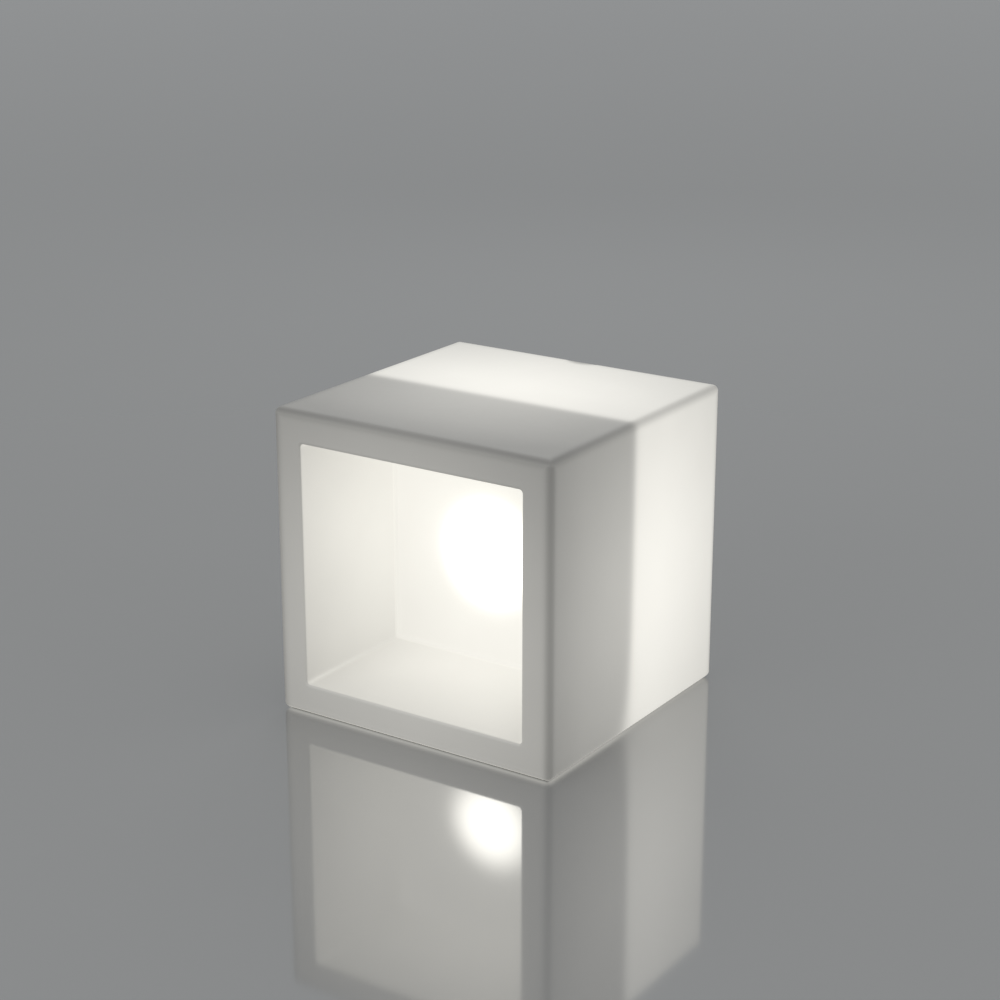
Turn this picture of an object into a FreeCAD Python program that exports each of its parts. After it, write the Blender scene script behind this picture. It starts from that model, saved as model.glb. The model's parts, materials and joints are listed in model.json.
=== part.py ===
import FreeCAD, Part
import math
import os
import Sketcher
from FreeCAD import Placement, Rotation, Vector

# A cube light: one hollow double-walled shell with a niche in its front, and a round light
# engine that twists into a port in its rear wall and shines into the chamber behind the niche.
# Millimetres. X to the right seen from the front, Y to the rear, Z up; the origin is on the
# floor under the middle of the cube. The engine's axis runs along Y through the rear wall.

doc = FreeCAD.newDocument("led_cube_light")

SIZES = {
    # the shell
    "width": 450,
    "depth": 440,
    "height": 445,
    "wall": 4,
    "edge_radius": 9,
    "side_border": 45,
    "top_border": 46,
    "base_border": 45,
    "niche_depth": 210,
    "niche_draft": 1,
    "niche_corner_radius": 5,
    "niche_back_radius": 4,
    "lip_radius": 4,
    "channel_width": 52,
    "channel_depth": 9,
    "channel_lip_radius": 4,
    # the seat of the light engine in the rear wall
    "seat_margin": 16,
    "seat_depth": 24,
    "seat_chamfer": 2,
    "insert_radius": 3.2,
    "insert_length": 9,
    "insert_boss_radius": 7,
    # fits
    "running_gap": 0.1,
    "seat_gap": 0.3,
    "thread_gap": 0.05,
    "tip_gap": 1,
    # feet
    "foot_radius": 16,
    "foot_thickness": 5,
    "foot_proud": 1.5,
    "foot_inset": 44,
    "foot_chamfer": 1,
    "foot_hole_radius": 4.6,
    "foot_floor": 1.8,
    # collar
    "gasket_thickness": 1.5,
    "collar_edge_gap": 2,
    "collar_thickness": 4,
    "collar_wall": 2.7,
    "collar_screws": 6,
    "collar_screw_margin": 7,
    "neck_reach": 5,
    "ledge_thickness": 3,
    "lug_count": 4,
    "lug_angle": 24,
    "lug_thickness": 3.5,
    "lug_reach": 3.4,
    "lug_stop_play": 0.5,
    "ledge_angle": 60,
    # screws: shank, head and counterbore
    "screw_radius": 1.95,
    "screw_head_radius": 3.8,
    "screw_head_height": 2.5,
    "small_screw_radius": 1.25,
    "small_head_radius": 2.6,
    "small_head_height": 1.8,
    # light engine housing
    "housing_radius": 52,
    "housing_wall": 2.5,
    "throat_step": 5,
    "flange_reach": 11,
    "flange_thickness": 3.5,
    "seal_thickness": 1.5,
    "seal_width": 3,
    "bulkhead_thickness": 3,
    "cap_gasket_thickness": 0.8,
    "cap_thickness": 4,
    "cap_chamfer": 1,
    "cap_screws": 6,
    "cap_screw_inset": 7,
    "cap_screw_bite": 3,
    # grip, buttons and indicator
    "grip_length": 84,
    "grip_width": 13,
    "grip_height": 6,
    "grip_radius": 3,
    "button_radius": 6,
    "button_proud": 1.5,
    "button_travel": 1,
    "button_x": 17,
    "button_z": 28,
    "button_collar_radius": 7.4,
    "button_collar_height": 1,
    "sleeve_wall": 2.4,
    "sleeve_length": 4,
    "stem_radius": 2,
    "ring_section_radius": 0.55,
    "switch_size": 6,
    "switch_height": 3.1,
    "plunger_radius": 1.7,
    "plunger_height": 0.5,
    "pipe_radius": 1.5,
    "pipe_proud": 0.4,
    "pipe_flange": 1,
    # charge socket and its cover
    "socket_drop": 32,
    "socket_radius": 5.5,
    "socket_flange_radius": 7.2,
    "socket_flange_height": 1,
    "socket_mouth_radius": 2.75,
    "socket_mouth_depth": 9,
    "socket_pin_radius": 1.05,
    "socket_pin_drop": 2,
    "nut_radius": 8,
    "nut_height": 3,
    "cover_length": 24,
    "cover_width": 16,
    "cover_thickness": 2,
    "hinge_rise": 12,
    "hinge_pin_radius": 1,
    "knuckle_radius": 2.2,
    "hinge_ear_width": 3,
    "vent_inset": 7,
    "vent_reach": 2,
    "vent_radius": 2.9,
    "vent_head_radius": 4.5,
    "vent_head_height": 1.6,
    # control board
    "board_drop": 12,
    "board_radius": 38,
    "board_thickness": 1.6,
    "board_grid": 1,
    "post_radius": 3.5,
    "post_inset": 5,
    "parts_room": 9,
    # battery
    "cell_radius": 9.2,
    "cell_length": 65,
    "cell_circle": 24,
    "cell_count": 3,
    "link_thickness": 0.5,
    "link_margin": 0.8,
    "cradle_gap": 2.5,
    "cradle_thickness": 3,
    "cradle_tube_wall": 1.7,
    "cradle_tube_length": 30,
    "cradle_post_radius": 6,
    "cradle_screw_inset": 6,
    "clamp_margin": 2,
    "clamp_thickness": 2,
    "clamp_screw_bite": 10,
    # light source
    "spreader_gap": 1,
    "spreader_thickness": 3,
    "led_board_margin": 3,
    "led_board_thickness": 1.6,
    "led_board_screw_inset": 5,
    "led_outer_inset": 13,
    "led_inner_inset": 27.5,
    "led_size": 5,
    "led_height": 1.4,
    "rim_reach": 8,
    "dome_seal_thickness": 1.5,
    "dome_wall": 2,
    "dome_flange": 3,
    "dome_ring_wall": 1.9,
    "dome_ring_lip": 1.5,
    "thread_length": 8,
    # leads
    "lead_radius": 0.8,
    "lead_hole_radius": 2.3,
    "lead_inset": 3,
    "lead_clearance": 4,
    "plug_height": 4,
    "grommet_radius": 3.5,
    "grommet_inset": 6,
}

sheet = doc.addObject("Spreadsheet::Sheet", "Sizes")
for row, (alias, number) in enumerate(SIZES.items(), start=1):
    sheet.set("A%d" % row, alias)
    sheet.set("B%d" % row, str(number))
    sheet.setAlias("B%d" % row, alias)
doc.recompute()


# ---- helpers: an expression is a text such as "Sizes.depth / 2" ----

def value(expression):
    """The number that an expression gives now."""
    return float(sheet.evalExpression(str(expression)))


def bind(thing, prop, expression):
    thing.setExpression(prop, str(expression))
    return thing


def put(thing, x="0", y="0", z="0", turn=Rotation()):
    """Turns a piece, then moves it to a place given by three expressions."""
    thing.Placement = Placement(Vector(0, 0, 0), turn)
    for letter, expression in zip("xyz", (x, y, z)):
        bind(thing, "Placement.Base." + letter, expression)
    return thing


ALONG_Y = Rotation(Vector(1, 0, 0), 90)  # a cylinder's own axis then points to the front
ALONG_X = Rotation(Vector(0, 1, 0), 90)
OVERRUN = 1  # how far a cut runs past the face it opens


def disc(name, radius, front, rear, x="0", z="0"):
    """A cylinder along Y between two planes."""
    thing = doc.addObject("Part::Cylinder", name)
    bind(thing, "Radius", radius)
    bind(thing, "Height", "(%s) - (%s)" % (rear, front))
    return put(thing, x, rear, z, ALONG_Y)


def upright(name, radius, low, high, x="0", y="0"):
    """A cylinder along Z between two heights."""
    thing = doc.addObject("Part::Cylinder", name)
    bind(thing, "Radius", radius)
    bind(thing, "Height", "(%s) - (%s)" % (high, low))
    return put(thing, x, y, low)


def rod(name, radius, left, right, y, z):
    """A cylinder along X."""
    thing = doc.addObject("Part::Cylinder", name)
    bind(thing, "Radius", radius)
    bind(thing, "Height", "(%s) - (%s)" % (right, left))
    return put(thing, left, y, z, ALONG_X)


def box(name, left, right, front, rear, low, high):
    thing = doc.addObject("Part::Box", name)
    bind(thing, "Length", "(%s) - (%s)" % (right, left))
    bind(thing, "Width", "(%s) - (%s)" % (rear, front))
    bind(thing, "Height", "(%s) - (%s)" % (high, low))
    return put(thing, left, front, low)


def fuse(name, pieces):
    thing = doc.addObject("Part::MultiFuse", name)
    thing.Shapes = pieces
    return thing


def cut(name, base, tools):
    thing = doc.addObject("Part::Cut", name)
    thing.Base = base
    thing.Tool = tools[0] if len(tools) == 1 else fuse(name + "_tools", tools)
    return thing


def group(name, pieces):
    """Identical or matching pieces that share a node."""
    thing = doc.addObject("Part::Compound", name)
    thing.Links = pieces
    return thing


def before(level):
    """A level just before another, for a cut that runs clear of a face or a piece that joins another."""
    return "((%s) - %g)" % (level, OVERRUN)


def beyond(level):
    """The same just beyond it."""
    return "((%s) + %g)" % (level, OVERRUN)


def ring(name, inner, outer, front, rear, x="0", z="0"):
    return cut(name, disc(name + "_outer", outer, front, rear, x, z),
               [disc(name + "_bore", inner, before(front), beyond(rear), x, z)])


def originPlane(body, role):
    return [f for f in body.Origin.OriginFeatures if f.Role == role][0]


def closedOutline(sketch, points):
    """Lines through points whose two coordinates are expressions measured from the origin."""
    corners = [Vector(value(a), value(b), 0) for a, b in points]
    last = len(points) - 1
    for i in range(len(points)):
        sketch.addGeometry(Part.LineSegment(corners[i], corners[0 if i == last else i + 1]))
    for i in range(len(points)):
        sketch.addConstraint(Sketcher.Constraint("Coincident", i, 2, 0 if i == last else i + 1, 1))
    for i, point in enumerate(points):
        for kind, expression in zip(("DistanceX", "DistanceY"), point):
            if kind == "DistanceX" and expression == "0":
                sketch.addConstraint(Sketcher.Constraint("PointOnObject", i, 1, -2))
                continue
            rule = Sketcher.Constraint(kind, -1, 1, i, 1, value(expression))
            index = sketch.addConstraint(rule)
            sketch.setExpression("Constraints[%d]" % index, expression)


def newSketch(body, name, role):
    sketch = body.newObject("Sketcher::SketchObject", name)
    sketch.AttachmentSupport = [(originPlane(body, role), "")]
    sketch.MapMode = "FlatFace"
    return sketch


def lathe(name, outline, upAxis=False):
    """Turns an outline of (radius, place along the axis) pairs about Y, or about Z."""
    body = doc.addObject("PartDesign::Body", name)
    sketch = newSketch(body, name + "_outline", "XZ_Plane" if upAxis else "XY_Plane")
    closedOutline(sketch, outline)
    turned = body.newObject("PartDesign::Revolution", name + "_turn")
    turned.Profile = sketch
    turned.ReferenceAxis = (sketch, ["V_Axis"])
    turned.Angle = 360
    body.Tip = turned
    return body


def roundedBlock(name, sizeX, sizeY, sizeZ, radius):
    """A block centred on X and Y, standing on Z = 0, with every edge rounded alike."""
    body = doc.addObject("PartDesign::Body", name)
    sketch = newSketch(body, name + "_plan", "XY_Plane")
    halfX = "(%s) / 2" % sizeX
    halfY = "(%s) / 2" % sizeY
    closedOutline(sketch, [("-" + halfX, "-" + halfY), (halfX, "-" + halfY),
                           (halfX, halfY), ("-" + halfX, halfY)])
    pad = body.newObject("PartDesign::Pad", name + "_pad")
    pad.Profile = sketch
    bind(pad, "Length", sizeZ)
    doc.recompute()
    edges = ["Edge%d" % (i + 1) for i in range(len(pad.Shape.Edges))]
    rounds = body.newObject("PartDesign::Fillet", name + "_rounds")
    rounds.Base = (pad, edges)
    bind(rounds, "Radius", radius)
    body.Tip = rounds
    return body


def onCircle(radius, angle):
    """The two coordinates, as expressions, of a point on a circle about the axis."""
    return "(%s) * cos(%s deg)" % (radius, angle), "(%s) * sin(%s deg)" % (radius, angle)


def anglesOf(count, first=0.0):
    return [first + 360.0 * i / count for i in range(int(count))]


# ---- planes and heights that several pieces share ----

axisZ = "Sizes.height / 2"
frontFace = "-Sizes.depth / 2"
rearFace = "Sizes.depth / 2"
seatFloor = "(Sizes.depth / 2 - Sizes.seat_depth)"
seatInside = "(%s - Sizes.wall)" % seatFloor
collarFront = "(%s + Sizes.gasket_thickness)" % seatFloor
collarRear = "(%s + Sizes.collar_thickness)" % collarFront
sealFront = "(%s + Sizes.seat_gap)" % collarRear
flangeFront = "(%s + Sizes.seal_thickness)" % sealFront
flangeRear = "(%s + Sizes.flange_thickness)" % flangeFront
capFront = "(%s + Sizes.cap_gasket_thickness)" % flangeRear
capRear = "(%s + Sizes.cap_thickness)" % capFront
neckFront = "(%s - Sizes.neck_reach)" % seatInside
boardRear = "(%s - Sizes.board_drop)" % capFront
boardFront = "(%s - Sizes.board_thickness)" % boardRear
clampRear = "(%s - Sizes.parts_room)" % boardFront
clampFront = "(%s - Sizes.clamp_thickness)" % clampRear
cellRear = "(%s - Sizes.link_thickness)" % clampFront
cellFront = "(%s - Sizes.cell_length)" % cellRear
cradleRear = "(%s - Sizes.link_thickness)" % cellFront
bulkheadRear = "(%s - Sizes.cradle_thickness)" % cradleRear
bulkheadFront = "(%s - Sizes.bulkhead_thickness)" % bulkheadRear
spreaderFront = "(%s - Sizes.spreader_thickness)" % bulkheadFront
ledBoardFront = "(%s - Sizes.led_board_thickness)" % spreaderFront
rimFront = "(%s - Sizes.rim_reach)" % ledBoardFront
domeFlangeRear = "(%s - Sizes.dome_seal_thickness)" % rimFront
domeFlangeFront = "(%s - Sizes.dome_wall)" % domeFlangeRear
domeRingFront = "(%s - Sizes.dome_ring_lip)" % domeFlangeFront
threadRear = "(%s + Sizes.thread_length)" % rimFront

portRadius = "(Sizes.housing_radius + Sizes.lug_reach + Sizes.collar_wall + 3 * Sizes.seat_gap)"
seatRadius = "(%s + Sizes.seat_margin)" % portRadius
collarScrewCircle = "(%s + Sizes.collar_screw_margin)" % portRadius
flangeRadius = "(Sizes.housing_radius + Sizes.flange_reach)"
capScrewCircle = "(%s - Sizes.cap_screw_inset)" % flangeRadius
throatRadius = "(Sizes.housing_radius - Sizes.throat_step)"
spreaderRadius = "(%s - Sizes.spreader_gap)" % throatRadius
ledBoardRadius = "(%s - Sizes.led_board_margin)" % spreaderRadius
ledScrewCircle = "(%s - Sizes.led_board_screw_inset)" % ledBoardRadius

underside = "Sizes.foot_proud"
collarBore = "(%s - Sizes.seat_gap - Sizes.collar_wall)" % portRadius
ledgeBore = "(Sizes.housing_radius + 2 * Sizes.seat_gap)"
lugRadius = "(%s - 2 * Sizes.seat_gap)" % collarBore
housingBore = "(Sizes.housing_radius - Sizes.housing_wall)"
cradleRadius = "(%s - Sizes.cradle_gap)" % housingBore
cradleScrewCircle = "(%s - Sizes.cradle_screw_inset)" % cradleRadius
grommetCircle = "(%s - Sizes.grommet_inset)" % cradleRadius
linkInner = "(Sizes.cell_circle - Sizes.cell_radius - Sizes.link_margin)"
linkOuter = "(Sizes.cell_circle + Sizes.cell_radius + Sizes.link_margin)"
clampRadius = "(%s + Sizes.clamp_margin)" % linkOuter
threadRadius = "(Sizes.housing_radius - Sizes.dome_ring_wall - Sizes.running_gap)"
screwHole = "(Sizes.screw_radius + 2 * Sizes.running_gap)"
screwHeadHole = "(Sizes.screw_head_radius + 3 * Sizes.running_gap)"
smallHole = "(Sizes.small_screw_radius + 2 * Sizes.running_gap)"
smallThread = "(Sizes.small_screw_radius + Sizes.thread_gap)"
pieces = []


def keep(thing, node):
    """Marks a finished sub-part: its label names its node and its file."""
    thing.Label = node
    pieces.append(thing)
    return thing


def screw(name, shank, head, headHeight, tip, seat, x, z):
    """A screw along Y whose tip points to the front and whose head stands behind its seat."""
    return fuse(name, [disc(name + "_shank", shank, tip, "(%s) + (%s) / 2" % (seat, headHeight), x, z),
                       disc(name + "_head", head, seat, "(%s) + (%s)" % (seat, headHeight), x, z)])


# ---- the shell ----

def nicheForm(name, grow):
    """The niche as a solid, with a draft on its walls, grown on every side but the front."""
    body = doc.addObject("PartDesign::Body", name)
    sketch = newSketch(body, name + "_mouth", "XZ_Plane")
    right = "Sizes.width / 2 - Sizes.side_border + %s" % grow
    low = "Sizes.base_border + Sizes.foot_proud - %s" % grow
    high = "Sizes.height - Sizes.top_border + %s" % grow
    closedOutline(sketch, [("-(%s)" % right, low), (right, low), (right, high), ("-(%s)" % right, high)])
    pad = body.newObject("PartDesign::Pad", name + "_pad")
    pad.Profile = sketch
    pad.Reversed = True
    bind(pad, "Length", "Sizes.niche_depth + %s" % grow)
    bind(pad, "TaperAngle", "-Sizes.niche_draft")
    doc.recompute()
    deep = pad.Shape.BoundBox.YMax
    along = ["Edge%d" % (i + 1) for i, edge in enumerate(pad.Shape.Edges)
             if edge.BoundBox.YLength > deep / 2]
    corners = body.newObject("PartDesign::Fillet", name + "_corners")
    corners.Base = (pad, along)
    bind(corners, "Radius", "Sizes.niche_corner_radius + %s" % grow)
    doc.recompute()
    back = ["Edge%d" % (i + 1) for i, edge in enumerate(corners.Shape.Edges)
            if edge.BoundBox.YMin > deep - 0.01]
    rounds = body.newObject("PartDesign::Fillet", name + "_back")
    rounds.Base = (corners, back)
    bind(rounds, "Radius", "Sizes.niche_back_radius + %s" % grow)
    body.Tip = rounds
    return put(body, y=frontFace)


channelBow = ("((Sizes.channel_width / 2) ^ 2 + Sizes.channel_depth ^ 2)"
              " / (2 * Sizes.channel_depth)")
channelAxisY = "Sizes.depth / 2 - Sizes.channel_depth + " + channelBow


def mirrored(point):
    """The same point on the other side of the middle plane."""
    return Vector(-point.x, point.y, point.z)


def channelForm(name):
    """The cable channel as a solid: a hollow arc with a rounded lip at each side."""
    bow = value(channelBow)
    lip = value("Sizes.channel_lip_radius")
    rear = value(rearFace)
    axisY = value(channelAxisY)
    lipX = math.sqrt((bow + lip) ** 2 - (axisY - rear + lip) ** 2)
    share = bow / (bow + lip)
    touch = Vector(lipX * share, axisY + (rear - lip - axisY) * share, 0)
    bottom = Vector(0, axisY - bow, 0)
    middle = Vector(lipX, rear - lip, 0)
    out = Vector(lipX, rear, 0)
    swing = (touch - middle).normalize() + (out - middle).normalize()
    onLip = middle + swing.normalize() * lip
    past = out + Vector(0, lip, 0)
    edges = [
        Part.Arc(mirrored(touch), bottom, touch).toShape(),
        Part.Arc(touch, onLip, out).toShape(),
        Part.LineSegment(out, past).toShape(),
        Part.LineSegment(past, mirrored(past)).toShape(),
        Part.LineSegment(mirrored(past), mirrored(out)).toShape(),
        Part.Arc(mirrored(out), mirrored(onLip), mirrored(touch)).toShape(),
    ]
    face = Part.Face(Part.Wire(edges))
    thing = doc.addObject("Part::Feature", name)
    thing.Shape = face.extrude(Vector(0, 0, value("Sizes.height")))
    return thing


footX = "(Sizes.width / 2 - Sizes.foot_inset)"
footY = "(Sizes.depth / 2 - Sizes.foot_inset)"
feet = {
    "front_left": ("-" + footX, "-" + footY),
    "front_right": (footX, "-" + footY),
    "rear_left": ("-" + footX, footY),
    "rear_right": (footX, footY),
}
footSeat = "Sizes.foot_thickness"
footInsertTop = "(%s + Sizes.insert_length + Sizes.tip_gap)" % footSeat
collarScrewAngles = anglesOf(value("Sizes.collar_screws"), first=30)
insertTip = "(%s - Sizes.insert_length - Sizes.tip_gap)" % seatFloor
insertHole = "(Sizes.insert_radius + Sizes.thread_gap)"

outside = roundedBlock("shell_outside", "Sizes.width", "Sizes.depth",
                       "(Sizes.height - Sizes.foot_proud)", "Sizes.edge_radius")
put(outside, z=underside)
withNiche = cut("shell_with_niche", outside, [nicheForm("niche_form", "0")])
doc.recompute()


def lipEdges(shape):
    """The numbers of the edges round the niche's mouth."""
    mouthHalf = value(beyond("Sizes.width / 2 - Sizes.side_border"))
    mouthTop = value(beyond("Sizes.height - Sizes.top_border"))
    front = value(frontFace)
    found = []
    for i, edge in enumerate(shape.Edges):
        bounds = edge.BoundBox
        onFront = abs(bounds.YMin - front) < 0.01 and abs(bounds.YMax - front) < 0.01
        if onFront and bounds.XMax < mouthHalf and bounds.XMin > -mouthHalf and bounds.ZMax < mouthTop:
            if bounds.ZMin > value("Sizes.base_border"):
                found.append(i + 1)
    return found


lip = doc.addObject("Part::Fillet", "shell_lip")
lip.Base = withNiche
lipRadius = value("Sizes.lip_radius")
lip.Edges = [(number, lipRadius, lipRadius) for number in lipEdges(withNiche.Shape)]

inside = roundedBlock("shell_inside", "(Sizes.width - 2 * Sizes.wall)", "(Sizes.depth - 2 * Sizes.wall)",
                      "(Sizes.height - Sizes.foot_proud - 2 * Sizes.wall)",
                      "(Sizes.edge_radius - Sizes.wall)")
put(inside, z="Sizes.foot_proud + Sizes.wall")
solidParts = [
    nicheForm("niche_wall", "Sizes.wall"),
    disc("seat_wall", seatRadius + " + Sizes.wall", seatInside, rearFace, z=axisZ),
    upright("channel_wall", channelBow + " + Sizes.wall", "0", "Sizes.height", y=channelAxisY),
]
for place, (x, y) in feet.items():
    solidParts.append(upright("foot_wall_" + place, "Sizes.foot_radius + Sizes.wall", underside,
                              footSeat + " + Sizes.wall", x, y))
    solidParts.append(upright("foot_boss_" + place, "Sizes.insert_boss_radius", underside,
                              footInsertTop + " + Sizes.wall / 2", x, y))
for i, angle in enumerate(collarScrewAngles):
    x, z = onCircle(collarScrewCircle, angle)
    solidParts.append(disc("collar_boss_%d" % i, "Sizes.insert_boss_radius",
                           insertTip + " - Sizes.wall / 2", rearFace, x, axisZ + " + " + z))
chamber = cut("light_chamber", inside, solidParts)

seat = lathe("seat_form", [
    ("0", seatFloor),
    (seatRadius, seatFloor),
    (seatRadius, rearFace + " - Sizes.seat_chamfer"),
    (seatRadius + " + Sizes.seat_chamfer", rearFace),
    (seatRadius + " + Sizes.seat_chamfer", beyond(rearFace)),
    ("0", beyond(rearFace)),
])
put(seat, z=axisZ)
shellTools = [chamber, seat, channelForm("channel_form"),
              disc("port", portRadius, before(seatInside), beyond(seatFloor), z=axisZ)]
for place, (x, y) in feet.items():
    shellTools.append(upright("foot_socket_" + place, "Sizes.foot_radius + Sizes.seat_gap / 2",
                              "0", footSeat, x, y))
    shellTools.append(upright("foot_insert_hole_" + place, insertHole, "0", footInsertTop, x, y))
for i, angle in enumerate(collarScrewAngles):
    x, z = onCircle(collarScrewCircle, angle)
    shellTools.append(disc("collar_insert_hole_%d" % i, insertHole, insertTip, beyond(seatFloor),
                           x, axisZ + " + " + z))
keep(cut("shell", lip, shellTools), "cube_shell")


# ---- feet: a rubber disc in a moulded socket, held by a screw in a brass insert ----

footScrews = []
footInserts = []
for place, (x, y) in feet.items():
    foot = lathe("foot_" + place, [
        ("Sizes.screw_radius + 2 * Sizes.running_gap", "Sizes.foot_thickness - Sizes.foot_floor"),
        ("Sizes.foot_hole_radius", "Sizes.foot_thickness - Sizes.foot_floor"),
        ("Sizes.foot_hole_radius", "0"),
        ("Sizes.foot_radius - Sizes.foot_chamfer", "0"),
        ("Sizes.foot_radius", "Sizes.foot_chamfer"),
        ("Sizes.foot_radius", "Sizes.foot_thickness"),
        ("Sizes.screw_radius + 2 * Sizes.running_gap", "Sizes.foot_thickness"),
    ], upAxis=True)
    keep(put(foot, x, y), "foot_" + place)
    headSeat = "(Sizes.foot_thickness - Sizes.foot_floor)"
    footScrews.append(fuse("foot_screw_" + place, [
        upright("foot_screw_shank_" + place, "Sizes.screw_radius", before(headSeat),
                footSeat + " + Sizes.insert_length - Sizes.tip_gap", x, y),
        upright("foot_screw_head_" + place, "Sizes.screw_head_radius",
                headSeat + " - Sizes.screw_head_height", headSeat, x, y)]))
    insert = upright("foot_insert_body_" + place, "Sizes.insert_radius", footSeat,
                     footSeat + " + Sizes.insert_length", x, y)
    bore = upright("foot_insert_bore_" + place, "Sizes.screw_radius + Sizes.thread_gap",
                   before(footSeat), beyond(footSeat + " + Sizes.insert_length"), x, y)
    footInserts.append(cut("foot_insert_" + place, insert, [bore]))
keep(group("foot_screw_set", footScrews), "foot_screws")
keep(group("foot_insert_set", footInserts), "foot_inserts")


# ---- the collar: a bayonet ring screwed to the seat over a flat gasket ----

collarOuter = "(%s - Sizes.collar_edge_gap)" % seatRadius
collarRing = lathe("collar_ring", [
    (collarBore, neckFront),
    (portRadius + " - Sizes.seat_gap", neckFront),
    (portRadius + " - Sizes.seat_gap", collarFront),
    (collarOuter, collarFront),
    (collarOuter, collarRear + " - Sizes.cap_chamfer"),
    (collarOuter + " - Sizes.cap_chamfer", collarRear),
    (collarBore, collarRear),
])
put(collarRing, z=axisZ)


def sector(name, inner, outer, front, rear, first, sweep):
    """A piece of a ring along Y, from one angle through another; both are expressions."""
    wedge = doc.addObject("Part::Cylinder", name + "_wedge")
    bind(wedge, "Radius", outer)
    bind(wedge, "Height", "(%s) - (%s)" % (rear, front))
    bind(wedge, "Angle", sweep)
    put(wedge, "0", rear, axisZ, ALONG_Y.multiply(Rotation(Vector(0, 0, 1), value(first))))
    return cut(name, wedge, [disc(name + "_bore", inner, before(front), beyond(rear), z=axisZ)])


lugAngles = anglesOf(value("Sizes.lug_count"), first=45)
ledges = []
for i, angle in enumerate(lugAngles):
    ledges.append(sector("ledge_%d" % i, ledgeBore, collarBore + " + Sizes.collar_wall / 4", neckFront,
                         neckFront + " + Sizes.ledge_thickness",
                         "%g - Sizes.ledge_angle / 2" % angle, "Sizes.ledge_angle"))
    ledges.append(sector("lug_stop_%d" % i, ledgeBore, collarBore + " + Sizes.collar_wall / 4",
                         neckFront + " - Sizes.lug_thickness / 2", neckFront,
                         "%g + Sizes.lug_angle / 2 + Sizes.lug_stop_play" % angle, "Sizes.lug_angle / 6"))
collarTools = []
gasketTools = []
collarScrews = []
collarInserts = []
headSeatY = "(%s - Sizes.screw_head_height)" % collarRear
collarScrewTip = "(%s + 2 * Sizes.tip_gap)" % insertTip
for i, angle in enumerate(collarScrewAngles):
    x, z = onCircle(collarScrewCircle, angle)
    z = axisZ + " + " + z
    collarTools.append(disc("collar_hole_%d" % i, screwHole, before(collarFront), collarRear, x, z))
    collarTools.append(disc("collar_sink_%d" % i, screwHeadHole, headSeatY, beyond(collarRear), x, z))
    gasketTools.append(disc("gasket_hole_%d" % i, screwHole, before(seatFloor), beyond(collarFront), x, z))
    collarScrews.append(screw("collar_screw_%d" % i, "Sizes.screw_radius", "Sizes.screw_head_radius",
                              "Sizes.screw_head_height", collarScrewTip, headSeatY, x, z))
    collarInserts.append(ring("collar_insert_%d" % i, "Sizes.screw_radius + Sizes.thread_gap",
                              "Sizes.insert_radius", seatFloor + " - Sizes.insert_length", seatFloor, x, z))
keep(cut("collar", fuse("collar_body", [collarRing] + ledges), collarTools), "mounting_collar")
gasketRing = ring("gasket_ring", portRadius + " + Sizes.seat_gap", collarOuter, seatFloor, collarFront,
                  z=axisZ)
keep(cut("gasket", gasketRing, gasketTools), "collar_gasket")
keep(group("collar_screw_set", collarScrews), "collar_screws")
keep(group("collar_insert_set", collarInserts), "collar_inserts")


# ---- the housing: a canister with a flange behind, lugs for the collar and a bulkhead ----

housingForm = lathe("housing_form", [
    (throatRadius, rimFront),
    (threadRadius, rimFront),
    (threadRadius, threadRear),
    ("Sizes.housing_radius", threadRear),
    ("Sizes.housing_radius", flangeFront),
    (flangeRadius, flangeFront),
    (flangeRadius, flangeRear),
    (housingBore, flangeRear),
    (housingBore, bulkheadRear),
    ("0", bulkheadRear),
    ("0", bulkheadFront),
    (throatRadius, bulkheadFront),
])
put(housingForm, z=axisZ)
lugs = [sector("lug_%d" % i, housingBore + " + Sizes.housing_wall / 2", lugRadius,
               neckFront + " - Sizes.seat_gap - Sizes.lug_thickness", neckFront + " - Sizes.seat_gap",
               "%g - Sizes.lug_angle / 2" % angle, "Sizes.lug_angle")
        for i, angle in enumerate(lugAngles)]

capScrewAngles = anglesOf(value("Sizes.cap_screws"), first=15)
cradleScrewAngles = anglesOf(value("Sizes.cell_count"), first=30)
cellAngles = anglesOf(value("Sizes.cell_count"), first=90)
ledScrewAngles = anglesOf(value("Sizes.cell_count"))
grommetAngle = 60.0
screwBite = "(%s - Sizes.cap_screw_bite)" % flangeRear
bulkheadBite = "Sizes.bulkhead_thickness * 3 / 4"

housingTools = []
capScrews = []
capTools = []
capGasketTools = []
for i, angle in enumerate(capScrewAngles):
    x, z = onCircle(capScrewCircle, angle)
    z = axisZ + " + " + z
    housingTools.append(disc("flange_hole_%d" % i, smallThread, screwBite, beyond(flangeRear), x, z))
    capTools.append(disc("cap_hole_%d" % i, smallHole, before(capFront), beyond(capRear), x, z))
    capTools.append(disc("cap_sink_%d" % i, "Sizes.small_head_radius + 3 * Sizes.running_gap",
                         capRear + " - Sizes.small_head_height", beyond(capRear), x, z))
    capGasketTools.append(disc("cap_gasket_hole_%d" % i, smallHole, before(flangeRear), beyond(capFront),
                               x, z))
    capScrews.append(screw("cap_screw_%d" % i, "Sizes.small_screw_radius", "Sizes.small_head_radius",
                           "Sizes.small_head_height", screwBite + " + Sizes.seat_gap",
                           capRear + " - Sizes.small_head_height", x, z))
cradleScrews = []
cradleTools = []
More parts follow.
